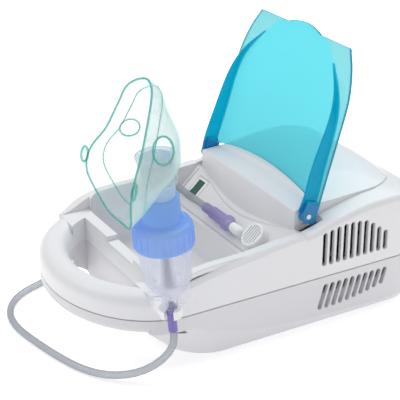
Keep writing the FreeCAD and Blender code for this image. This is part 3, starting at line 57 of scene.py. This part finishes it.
# Lid: lean from upright at rest, hinge axis, lug and blade sizes
LID_LEAN = math.radians(17.0)
PIVOT_Y = 8.0
PIVOT_Z = 90.0
LUG_LENGTH = 10.0
LUG_INNER_X = 69.5
SHEET_BACK = 5.0
# Border between the lid's middle and its wings: straight to WING_START, then bent inwards over WING_RUN
WING_START = 62.0
WING_RUN = 50.0
WING_BORDER = 71.0
WING_BEND = 24.0

# Mask: the face line starts at the chin and leans; the saddle carries the cheeks towards the face
MASK_CHIN_Y = -154.2
MASK_CHIN_Z = 137.5
MASK_LEAN = 0.2026
MASK_SIDES = 72
MASK_ROWS_PER_LEVEL = 5
SEAL_ROW = 6
SADDLE = 17.0
MASK_HALF = 34.0
MASK_TALL = 93.0
MASK_WALL = 1.2
VENT_R = 9.0
FAR_VENT_R = 6.5
STRAP_LUG_Z = 172.0
# Right half of the face line, from chin to nose, as (share of half width, share of height)
FACE_SHAPE = [(0.0, 0.0), (0.42, 0.03), (0.70, 0.13), (0.96, 0.29), (0.97, 0.45), (0.77, 0.61),
        (0.63, 0.78), (0.47, 0.93)]
# Rings from the rim back to the dome's middle: half width, chin height, nose height, set-back, saddle share
MASK_LEVELS = [
    (33.0, 134.5, 231.5, -3.0, 1.0), (31.8, 137.0, 230.0, 0.0, 1.0), (31.0, 142.5, 225.0, 5.5, 0.85),
    (28.5, 153.0, 212.0, 12.5, 0.5), (24.0, 161.0, 201.5, 19.0, 0.25), (14.0, 169.0, 191.0, 25.0, 0.06),
    (4.0, 175.5, 183.0, 27.5, 0.0),
]


def place(x, y, z):
    """Casing-frame millimetres to the row frame in metres."""
    return Vector((x * MM, (y + FOOTPRINT_SHIFT) * MM, z * MM))


def kit_place(x, y, h):
    c, s = math.cos(KIT_TILT), math.sin(KIT_TILT)
    return place(KIT_BASE.x + x, KIT_BASE.y + y * c - h * s, KIT_BASE.z + y * s + h * c)


# ------------------------------------------------------------------ materials

def new_material(name):
    """Empty node material: the material, its nodes, its links and the output node."""
    mat = bpy.data.materials.new(name)
    mat.use_nodes = True
    mat.node_tree.nodes.clear()
    out = mat.node_tree.nodes.new("ShaderNodeOutputMaterial")
    return mat, mat.node_tree.nodes, mat.node_tree.links, out


def grain(nodes, links, scale, strength, distance, edge):
    """Fine surface relief over softened edges; returns the normal output."""
    coords = nodes.new("ShaderNodeTexCoord")
    noise = nodes.new("ShaderNodeTexNoise")
    noise.inputs["Scale"].default_value = scale
    noise.inputs["Detail"].default_value = 3.0
    links.new(coords.outputs["Object"], noise.inputs["Vector"])
    bump = nodes.new("ShaderNodeBump")
    bump.inputs["Strength"].default_value = strength
    bump.inputs["Distance"].default_value = distance
    links.new(noise.outputs["Fac"], bump.inputs["Height"])
    if edge > 0:
        bevel = nodes.new("ShaderNodeBevel")
        bevel.samples = 4
        bevel.inputs["Radius"].default_value = edge
        links.new(bevel.outputs["Normal"], bump.inputs["Normal"])
    return noise, bump


def solid(name, colour, roughness=0.4, metallic=0.0, coat=0.0, spread=0.02, scale=900.0, strength=0.12,
          edge=0.0006, sub=0.0):
    """Opaque finish with slight grain, slight colour variation and softened edges."""
    mat, nodes, links, out = new_material(name)
    bsdf = nodes.new("ShaderNodeBsdfPrincipled")
    noise, bump = grain(nodes, links, scale, strength, 0.0002, edge)
    ramp = nodes.new("ShaderNodeValToRGB")
    low = [max(c - spread, 0.0) for c in colour]
    high = [min(c + spread, 1.0) for c in colour]
    ramp.color_ramp.elements[0].color = (*low, 1.0)
    ramp.color_ramp.elements[1].color = (*high, 1.0)
    links.new(noise.outputs["Fac"], ramp.inputs["Fac"])
    links.new(ramp.outputs["Color"], bsdf.inputs["Base Color"])
    links.new(bump.outputs["Normal"], bsdf.inputs["Normal"])
    bsdf.inputs["Roughness"].default_value = roughness
    bsdf.inputs["Metallic"].default_value = metallic
    bsdf.inputs["Coat Weight"].default_value = coat
    bsdf.inputs["Subsurface Weight"].default_value = sub
    bsdf.inputs["Subsurface Radius"].default_value = (0.004, 0.004, 0.004)
    bsdf.inputs["Subsurface Scale"].default_value = 0.5
    links.new(bsdf.outputs["BSDF"], out.inputs["Surface"])
    return mat


def wing_share(nodes, links):
    """1 on the lid's wings outside its blades, 0 elsewhere; the border follows the blades."""
    def step(operation, a, b):
        node = nodes.new("ShaderNodeMath")
        node.operation = operation
        for socket, value in zip(node.inputs, (a, b)):
            if isinstance(value, float):
                socket.default_value = value
            elif value is not None:
                links.new(value, socket)
        return node.outputs[0]

    coords = nodes.new("ShaderNodeTexCoord")
    parts = nodes.new("ShaderNodeSeparateXYZ")
    links.new(coords.outputs["Object"], parts.inputs["Vector"])
    across = step("SUBTRACT", parts.outputs["Y"], (PIVOT_Y + FOOTPRINT_SHIFT) * MM)
    height = step("SUBTRACT", parts.outputs["Z"], PIVOT_Z * MM)
    across_share = step("MULTIPLY", across, math.sin(LID_LEAN))
    height_share = step("MULTIPLY", height, math.cos(LID_LEAN))
    along = step("ADD", across_share, height_share)
    bent = step("DIVIDE", step("SUBTRACT", along, WING_START * MM), WING_RUN * MM)
    bent = step("POWER", step("MAXIMUM", bent, 0.0), 2.0)
    border = step("SUBTRACT", WING_BORDER * MM, step("MULTIPLY", bent, WING_BEND * MM))
    return step("GREATER_THAN", step("ABSOLUTE", parts.outputs["X"], None), border)


def by_share(nodes, links, share, colour, other):
    """Colour output that turns from one colour to the other with the share."""
    mix = nodes.new("ShaderNodeMixRGB")
    mix.inputs["Color1"].default_value = (*colour, 1.0)
    mix.inputs["Color2"].default_value = (*other, 1.0)
    links.new(share, mix.inputs["Fac"])
    return mix.outputs["Color"]


def clear(name, face, edge_colour, body=0.2, rim=0.85, power=0.5, roughness=0.12, glow=0.35, tint=None,
        wing=None):
    """Clear or translucent plastic: see-through face on, denser and more coloured at grazing angles."""
    mat, nodes, links, out = new_material(name)
    noise, bump = grain(nodes, links, 260.0, 0.10, 0.0002, 0.0)
    weight = nodes.new("ShaderNodeLayerWeight")
    weight.inputs["Blend"].default_value = power
    mix_colour = nodes.new("ShaderNodeMixRGB")
    mix_colour.inputs["Color1"].default_value = (*face, 1.0)
    mix_colour.inputs["Color2"].default_value = (*edge_colour, 1.0)
    links.new(weight.outputs["Facing"], mix_colour.inputs["Fac"])
    skin = nodes.new("ShaderNodeBsdfPrincipled")
    skin.inputs["Roughness"].default_value = roughness
    skin.inputs["Specular IOR Level"].default_value = 0.6
    links.new(mix_colour.outputs["Color"], skin.inputs["Base Color"])
    links.new(bump.outputs["Normal"], skin.inputs["Normal"])
    through = nodes.new("ShaderNodeBsdfTranslucent")
    links.new(mix_colour.outputs["Color"], through.inputs["Color"])
    body_mix = nodes.new("ShaderNodeMixShader")
    body_mix.inputs["Fac"].default_value = glow
    links.new(skin.outputs["BSDF"], body_mix.inputs[1])
    links.new(through.outputs["BSDF"], body_mix.inputs[2])
    open_ = nodes.new("ShaderNodeBsdfTransparent")
    open_.inputs["Color"].default_value = (*(tint or face), 1.0)
    span = nodes.new("ShaderNodeMapRange")
    span.inputs["To Min"].default_value = body
    span.inputs["To Max"].default_value = rim
    links.new(weight.outputs["Facing"], span.inputs["Value"])
    if wing:
        share = wing_share(nodes, links)
        links.new(by_share(nodes, links, share, face, wing[0]), mix_colour.inputs["Color1"])
        links.new(by_share(nodes, links, share, tint, wing[1]), open_.inputs["Color"])
    final = nodes.new("ShaderNodeMixShader")
    links.new(span.outputs["Result"], final.inputs["Fac"])
    links.new(open_.outputs["BSDF"], final.inputs[1])
    links.new(body_mix.outputs["Shader"], final.inputs[2])
    links.new(final.outputs["Shader"], out.inputs["Surface"])
    return mat


CASE = solid("casing_plastic", (0.80, 0.80, 0.82), roughness=0.38, coat=0.15, spread=0.008, strength=0.05,
        edge=0.0012)
BASE = solid("casing_plastic_base", (0.72, 0.71, 0.735), roughness=0.42, coat=0.1, spread=0.008,
        strength=0.05, edge=0.0012)
LID = clear("lid_aqua", (0.34, 0.86, 0.91), (0.08, 0.60, 0.75), body=0.42, rim=0.85, power=0.28,
        roughness=0.08,
            glow=0.6, tint=(0.44, 0.92, 0.96), wing=((0.42, 0.80, 0.82), (0.62, 0.93, 0.94)))
LID_BLADE = clear("lid_blade", (0.0, 0.62, 0.80), (0.0, 0.40, 0.62), body=0.75, rim=0.95, power=0.35,
        roughness=0.1,
                  glow=0.65, tint=(0.2, 0.8, 0.92))
LID_LUG = clear("lid_lug", (0.01, 0.34, 0.66), (0.0, 0.22, 0.52), body=0.85, rim=0.97, power=0.4,
        roughness=0.12,
                glow=0.3, tint=(0.1, 0.5, 0.85))
LID_EDGE = clear("lid_edge", (0.01, 0.34, 0.48), (0.0, 0.22, 0.36), body=0.8, rim=0.95, power=0.4,
        roughness=0.1,
                 glow=0.4, tint=(0.2, 0.6, 0.8))
BLUE = clear("cap_blue", (0.50, 0.70, 1.0), (0.20, 0.40, 0.94), body=0.55, rim=0.9, power=0.32, glow=0.5,
             tint=(0.80, 0.90, 1.0))
CHIMNEY = clear("chimney_blue", (0.50, 0.72, 1.0), (0.24, 0.48, 0.96), body=0.42, rim=0.85, power=0.32,
        glow=0.5,
                tint=(0.82, 0.91, 1.0))
CUP = clear("cup_clear", (0.92, 0.92, 0.95), (0.66, 0.68, 0.76), body=0.12, rim=0.75, power=0.3,
        tint=(0.98, 0.98, 1.0))
TUBE = clear("tube_clear", (0.80, 0.88, 0.95), (0.52, 0.66, 0.84), body=0.36, rim=0.85, power=0.35,
        tint=(0.93, 0.97, 1.0))
MASK = clear("mask_clear", (0.86, 0.92, 0.915), (0.46, 0.74, 0.71), body=0.20, rim=0.66, power=0.26,
        roughness=0.10,
             glow=0.45, tint=(0.965, 0.985, 0.985))
TEAL = clear("mask_edge", (0.24, 0.66, 0.60), (0.06, 0.46, 0.42), body=0.42, rim=0.9, power=0.4, glow=0.4,
             tint=(0.7, 0.93, 0.9))
HOSE = clear("hose_clear", (0.58, 0.60, 0.63), (0.30, 0.32, 0.36), body=0.50, rim=0.95, power=0.45,
        roughness=0.18,
             glow=0.3, tint=(0.92, 0.94, 0.96))
VIOLET = solid("violet_plastic", (0.20, 0.15, 0.46), roughness=0.35, sub=0.1)
LILAC = clear("lilac_plastic", (0.66, 0.62, 0.82), (0.40, 0.35, 0.64), body=0.55, rim=0.95, power=0.4,
        glow=0.5,
              tint=(0.8, 0.78, 0.95))
WHITE = solid("white_plastic", (0.88, 0.88, 0.88), roughness=0.42, edge=0.0003)
GREEN = solid("green_gloss", (0.0, 0.10, 0.068), roughness=0.22, coat=0.5, edge=0.0003)
DARK = solid("dark_plastic", (0.03, 0.03, 0.035), roughness=0.5)
FELT = solid("filter_felt_fibre", (0.85, 0.85, 0.82), roughness=0.95, strength=0.8, scale=1600.0)
RUBBER = solid("grey_rubber", (0.08, 0.085, 0.09), roughness=0.8)
STEEL = solid("steel", (0.55, 0.55, 0.57), roughness=0.32, metallic=1.0, edge=0.0002)
LAMINATE = solid("laminated_steel", (0.25, 0.26, 0.28), roughness=0.5, metallic=0.9, scale=2500.0,
        strength=0.6)
COPPER = solid("winding", (0.50, 0.17, 0.05), roughness=0.35, metallic=0.5, scale=3000.0, strength=0.8)
ALLOY = solid("cast_alloy", (0.62, 0.62, 0.64), roughness=0.45, metallic=0.9, strength=0.4)
BRASS = solid("brass", (0.60, 0.42, 0.14), roughness=0.3, metallic=1.0)
SEAL = solid("seal_compound", (0.10, 0.08, 0.07), roughness=0.6)

FINISH = {
    "upper_case": CASE, "lower_case": BASE, "rubber_feet": RUBBER, "case_screws": STEEL, "lid": LID,
    "lid_hinge_pins": STEEL, "switch_body": WHITE, "power_rocker": GREEN, "filter_cap": WHITE,
    "filter_felt": FELT, "outlet_nozzle": WHITE, "outlet_connector": LILAC, "air_hose": HOSE,
    "cup_connector": VIOLET, "nebulizer_cup": CUP, "jet_baffle": CUP, "nebulizer_cap": BLUE,
    "adapter_tube": TUBE, "cup_holder": WHITE, "face_mask": MASK, "mains_inlet": DARK, "wiring": DARK,
    "stator_core": LAMINATE, "stator_coil": COPPER, "rotor": ALLOY, "motor_shaft": STEEL,
    "bearing_brackets": ALLOY, "shaft_bushes": BRASS, "stator_bolts": STEEL, "cooling_fan": DARK,
    "eccentric": ALLOY, "connecting_rod": ALLOY, "piston_seal": SEAL, "cylinder": ALLOY,
    "pump_bracket": STEEL, "valve_plate": STEEL, "reed_valves": STEEL, "cylinder_head": ALLOY,
    "head_screws": STEEL, "motor_base": STEEL, "rubber_mounts": RUBBER, "base_screws": STEEL,
    "intake_tube": HOSE, "outlet_tube": HOSE,
}
for node, material in FINISH.items():
    data = NODES[node].data
    data.materials.clear()
    data.materials.append(material)


# ------------------------------------------------------------------ pieces with several finishes

def casing_frame(point):
    """Row frame in metres to millimetres in the casing's frame."""
    return point.x / MM, point.y / MM - FOOTPRINT_SHIFT, point.z / MM


def lid_zone(centre, normal):
    """Which lid finish a face takes: 0 sheet, 1 blade, 2 lug, 3 edge."""
    x, y, z = casing_frame(centre)
    along = (y - PIVOT_Y) * math.sin(LID_LEAN) + (z - PIVOT_Z) * math.cos(LID_LEAN)
    out = (y - PIVOT_Y) * math.cos(LID_LEAN) - (z - PIVOT_Z) * math.sin(LID_LEAN)
    facing = abs(normal.y * math.cos(LID_LEAN) - normal.z * math.sin(LID_LEAN))
    if along < LUG_LENGTH and abs(x) > LUG_INNER_X:
        return 2
    if out < SHEET_BACK:
        return 1
    if facing < 0.5:
        return 3
    return 0


def cap_zone(centre, normal):
    """0 for the screw cap, 1 for the chimney above its shoulder."""
    x, y, z = casing_frame(centre)
    height = (z - KIT_BASE.z) * math.cos(KIT_TILT) - (y - KIT_BASE.y) * math.sin(KIT_TILT)
    return 1 if height > CHIMNEY_FOOT_H else 0


def zoned(node, materials, zone):
    """Give one CAD node several finishes, picked face by face."""
    data = NODES[node].data
    data.materials.clear()
    for material in materials:
        data.materials.append(material)
    for face in data.polygons:
        face.material_index = zone(face.center, face.normal)


zoned("lid", [LID, LID_BLADE, LID_LUG, LID_EDGE], lid_zone)
zoned("nebulizer_cap", [BLUE, CHIMNEY], cap_zone)


# ------------------------------------------------------------------ shapes

def add_object(name, data, material, body):
    """Link an object with one material, and let it ride on a body if one is named."""
    obj = bpy.data.objects.new(name, data)
    bpy.context.scene.collection.objects.link(obj)
    data.materials.clear()
    data.materials.append(material)
    if body:
        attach(obj, body)
    return obj


def mesh_from(name, points, faces):
    mesh = bpy.data.meshes.new(name)
    mesh.from_pydata(points, [], faces)
    mesh.polygons.foreach_set("use_smooth", [True] * len(mesh.polygons))
    mesh.update()
    return mesh


def through_points(points, samples, closed):
    """Smooth curve through the points, as a list of vectors."""
    count = len(points)
    spans = count if closed else count - 1
    result = []
    for i in range(spans):
        if closed:
            quad = [points[(i + k) % count] for k in (-1, 0, 1, 2)]
        else:
            quad = [points[min(max(i + k, 0), count - 1)] for k in (-1, 0, 1, 2)]
        a, b, c, d = quad
        for s in range(samples):
            t = s / samples
            result.append(0.5 * (2 * b + (c - a) * t + (2 * a - 5 * b + 4 * c - d) * t * t
                                 + (3 * b - a - 3 * c + d) * t ** 3))
    if not closed:
        result.append(points[-1])
    return result


def tube(name, points, radius, material, body, closed=False):
    """Round cord along a path."""
    curve = bpy.data.curves.new(name, "CURVE")
    curve.dimensions = "3D"
    curve.bevel_depth = radius * MM
    curve.bevel_resolution = 4
    curve.use_fill_caps = True
    spline = curve.splines.new("POLY")
    spline.points.add(len(points) - 1)
    for point, co in zip(spline.points, points):
        point.co = (*co, 1.0)
    spline.use_cyclic_u = closed
    return add_object(name, curve, material, body)


def resample(points, count):
    """Closed path with evenly spaced points."""
    lengths = [0.0]
    for a, b in zip(points, points[1:] + points[:1]):
        lengths.append(lengths[-1] + (b - a).length)
    total = lengths[-1]
    result = []
    j = 0
    for i in range(count):
        target = total * i / count
        while lengths[j + 1] < target:
            j += 1
        share = (target - lengths[j]) / max(lengths[j + 1] - lengths[j], 1e-9)
        a, b = points[j], points[(j + 1) % len(points)]
        result.append(a + (b - a) * share)
    return result


def face_outline():
    """Unit outline of the mask: (share of half width, share of height)."""
    right = [Vector(p) for p in FACE_SHAPE]
    left = [Vector((-p.x, p.y)) for p in reversed(right[1:])]
    loop = right + [Vector((0.0, 1.0))] + left
    fine = through_points(loop, 24, True)
    scaled = [Vector((p.x * MASK_HALF, p.y * MASK_TALL)) for p in fine]
    even = resample(scaled, MASK_SIDES)
    return [Vector((p.x / MASK_HALF, p.y / MASK_TALL)) for p in even]


OUTLINE = face_outline()


def mask_ring(level):
    """One ring of the mask: the face line at one set-back."""
    half, chin, nose, back, saddle = level
    ring = []
    for p in OUTLINE:
        z = chin + (nose - chin) * p.y
        y = MASK_CHIN_Y + MASK_LEAN * (z - MASK_CHIN_Z) + back - saddle * SADDLE * p.x * p.x
        ring.append(place(KIT_BASE.x + p.x * half, y, z))
    return ring


def mask_levels():
    """The levels, refined by a smooth curve through them."""
    fine = [MASK_LEVELS[0]]
    columns = [Vector(level) for level in MASK_LEVELS[1:]]
    for level in through_points(columns, MASK_ROWS_PER_LEVEL, False):
        fine.append(tuple(level))
    return fine


def build_mask():
    """The dome without its holes, and its rings."""
    rings = [mask_ring(level) for level in mask_levels()]
    points = [p for ring in rings for p in ring]
    n = MASK_SIDES
    faces = []
    for r in range(len(rings) - 1):
        for i in range(n):
            j = (i + 1) % n
            faces.append((r * n + i, r * n + j, (r + 1) * n + j, (r + 1) * n + i))
    faces.append(tuple((len(rings) - 1) * n + i for i in range(n)))
    mesh = mesh_from("mask_shell", points, faces)
    shell = add_object("mask_shell", mesh, MASK, None)
    thick = shell.modifiers.new("thickness", "SOLIDIFY")
    thick.thickness = MASK_WALL * MM
    thick.offset = 0.0
    return shell, rings


def cutter_cylinder(name, start, end, radius):
    """Cylinder between two points, only used to cut."""
    bpy.ops.mesh.primitive_cylinder_add(vertices=48, radius=radius * MM, depth=(end - start).length)
    obj = bpy.context.active_object
    obj.name = name
    obj.matrix_world = Matrix.Translation((start + end) / 2) @ (end - start).to_track_quat("Z",
            "Y").to_matrix().to_4x4()
    return obj


def apply_modifiers(obj):
    """Bake the object's modifiers into a new mesh."""
    bpy.context.view_layer.update()
    graph = bpy.context.evaluated_depsgraph_get()
    mesh = bpy.data.meshes.new_from_object(obj.evaluated_get(graph))
    obj.modifiers.clear()
    obj.data = mesh
    mesh.polygons.foreach_set("use_smooth", [True] * len(mesh.polygons))


def cheek_hole(shell, side, radius):
    """Vent hole through one cheek; returns where it meets the surface and the surface's normal."""
    outside = place(KIT_BASE.x + side * 60, -144, 194)
    inside = place(KIT_BASE.x + side * 10, -138, 190)
    hit, spot, normal, _ = shell.ray_cast(outside, (inside - outside).normalized())
    if normal.dot(outside - spot) < 0:
        normal = -normal
    cut = cutter_cylinder("vent_cutter", spot - normal * 0.008, spot + normal * 0.02, radius)
    hole = shell.modifiers.new("vent", "BOOLEAN")
    hole.operation = "DIFFERENCE"
    hole.object = cut
    apply_modifiers(shell)
    bpy.data.objects.remove(cut)
    return spot, normal


def ring_at(name, spot, normal, radius, thickness, material, stretch=1.0):
    """Round or stretched cord around a spot on the mask."""
    across = normal.cross(Vector((0, 0, 1))).normalized()
    up = across.cross(normal).normalized()
    points = []
    for i in range(40):
        a = 2 * math.pi * i / 40
        points.append(spot + across * math.cos(a) * radius * MM + up * math.sin(a) * radius * stretch * MM)
    return tube(name, points, thickness, material, "mask_body", closed=True)


def lathe_mesh(name, profile, placer, sides=64):
    """Turned shape from a closed (radius, height) outline, set in place by placer."""
    points = []
    for r, h in profile:
        for i in range(sides):
            a = 2 * math.pi * i / sides
            points.append(placer(r * math.cos(a), r * math.sin(a), h))
    faces = []
    count = len(profile)
    for k in range(count):
        m = (k + 1) % count
        for i in range(sides):
            j = (i + 1) % sides
            faces.append((k * sides + i, k * sides + j, m * sides + j, m * sides + i))
    return mesh_from(name, points, faces)


def build_mask_set():
    shell, rings = build_mask()
    apply_modifiers(shell)
    spot, normal = cheek_hole(shell, 1, VENT_R)
    far_spot, far_normal = cheek_hole(shell, -1, FAR_VENT_R)
    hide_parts("face_mask")
    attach(shell, "mask_body")
    tube("mask_rim_bead", rings[0], 0.7, TEAL, "mask_body", closed=True)
    tube("mask_seal_bead", rings[SEAL_ROW], 0.4, TEAL, "mask_body", closed=True)
    ring_at("mask_vent_ring", spot, normal, VENT_R + 0.1, 0.7, TEAL)
    ring_at("mask_far_vent_ring", far_spot, far_normal, FAR_VENT_R + 0.1, 0.6, TEAL)
    for side, label in ((1, "near"), (-1, "far")):
        rim = mask_ring(MASK_LEVELS[0])
        spots = [p for p in rim if side * (p.x - KIT_BASE.x * MM) > 0]
        target = min(spots, key=lambda p: abs(p.z - STRAP_LUG_Z * MM))
        out = Vector((side * 1.0, -0.2, 0.0)).normalized()
        face = Vector((-side * 0.2, -1.0, 0.25)).normalized()
        ring_at("mask_strap_lug_" + label, target + out * 3.2 * MM, face, 3.4, 0.9, TEAL, 1.5)
    collar = lathe_mesh("mask_socket", [(13.2, 99.0), (13.2, 100.5), (12.6, 113.0), (14.0, 119.0),
            (12.2, 119.0),
                                        (TUBE_R, 112.0), (TUBE_R, 99.0)], kit_place)
    add_object("mask_socket", collar, MASK, "mask_body")


def build_hose():
    """The hose as its own piece, riding on no body, from the casing's connector to the cup's."""
    mesh = NODES["air_hose"].data.copy()
    hose = add_object("hose_flexible", mesh, HOSE, None)
    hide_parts("air_hose")
    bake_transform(hose)


build_mask_set()
build_hose()

# ------------------------------------------------------------------ stage, lights, camera

def build_floor():
    bpy.ops.mesh.primitive_plane_add(size=8.0, location=(0, 0, -0.0004))
    floor = bpy.context.active_object
    floor.name = "floor"
    mat, nodes, links, out = new_material("floor_white")
    bsdf = nodes.new("ShaderNodeBsdfPrincipled")
    bsdf.inputs["Base Color"].default_value = (0.92, 0.92, 0.93, 1.0)
    bsdf.inputs["Roughness"].default_value = 0.9
    bsdf.inputs["Emission Color"].default_value = (1.0, 1.0, 1.0, 1.0)
    bsdf.inputs["Emission Strength"].default_value = 0.42
    links.new(bsdf.outputs["BSDF"], out.inputs["Surface"])
    floor.data.materials.append(mat)


def area_light(name, location, target, size, power):
    light = bpy.data.lights.new(name, "AREA")
    light.size = size
    light.energy = power
    obj = bpy.data.objects.new(name, light)
    bpy.context.scene.collection.objects.link(obj)
    obj.location = location
    obj.rotation_euler = (Vector(target) - Vector(location)).to_track_quat("-Z", "Y").to_euler()


def build_camera():
    """Camera of the three-quarter view, from above the handle's near side."""
    right = Vector((0.4997, 0.8662, 0.0))
    up = Vector((-0.3640, 0.2100, 0.9074))
    back = Vector((0.7860, -0.4534, 0.4203))
    data = bpy.data.cameras.new("camera")
    data.sensor_width = 36.0
    data.lens = 111.53
    data.clip_end = 20.0
    camera = bpy.data.objects.new("camera", data)
    bpy.context.scene.collection.objects.link(camera)
    spot = place(757.74, -479.11, 490.32)
    rows = Matrix((right, up, back)).transposed().to_4x4()
    camera.matrix_world = Matrix.Translation(spot) @ rows
    bpy.context.scene.camera = camera


def build_world():
    world = bpy.data.worlds.new("studio")
    bpy.context.scene.world = world
    world.use_nodes = True
    sky = world.node_tree.nodes["Background"]
    sky.inputs["Color"].default_value = (1.0, 1.0, 1.0, 1.0)
    sky.inputs["Strength"].default_value = 0.50


build_floor()
build_world()
area_light("key", (-0.5, -0.9, 1.4), (0, 0, 0.05), 1.0, 5.5)
area_light("behind", (-0.35, 0.75, 1.25), (0, 0.05, 0.08), 0.9, 8.0)
area_light("top", (0.0, 0.1, 1.7), (0, 0, 0.05), 1.0, 5.0)
build_camera()
bpy.context.scene.view_settings.view_transform = "Standard"
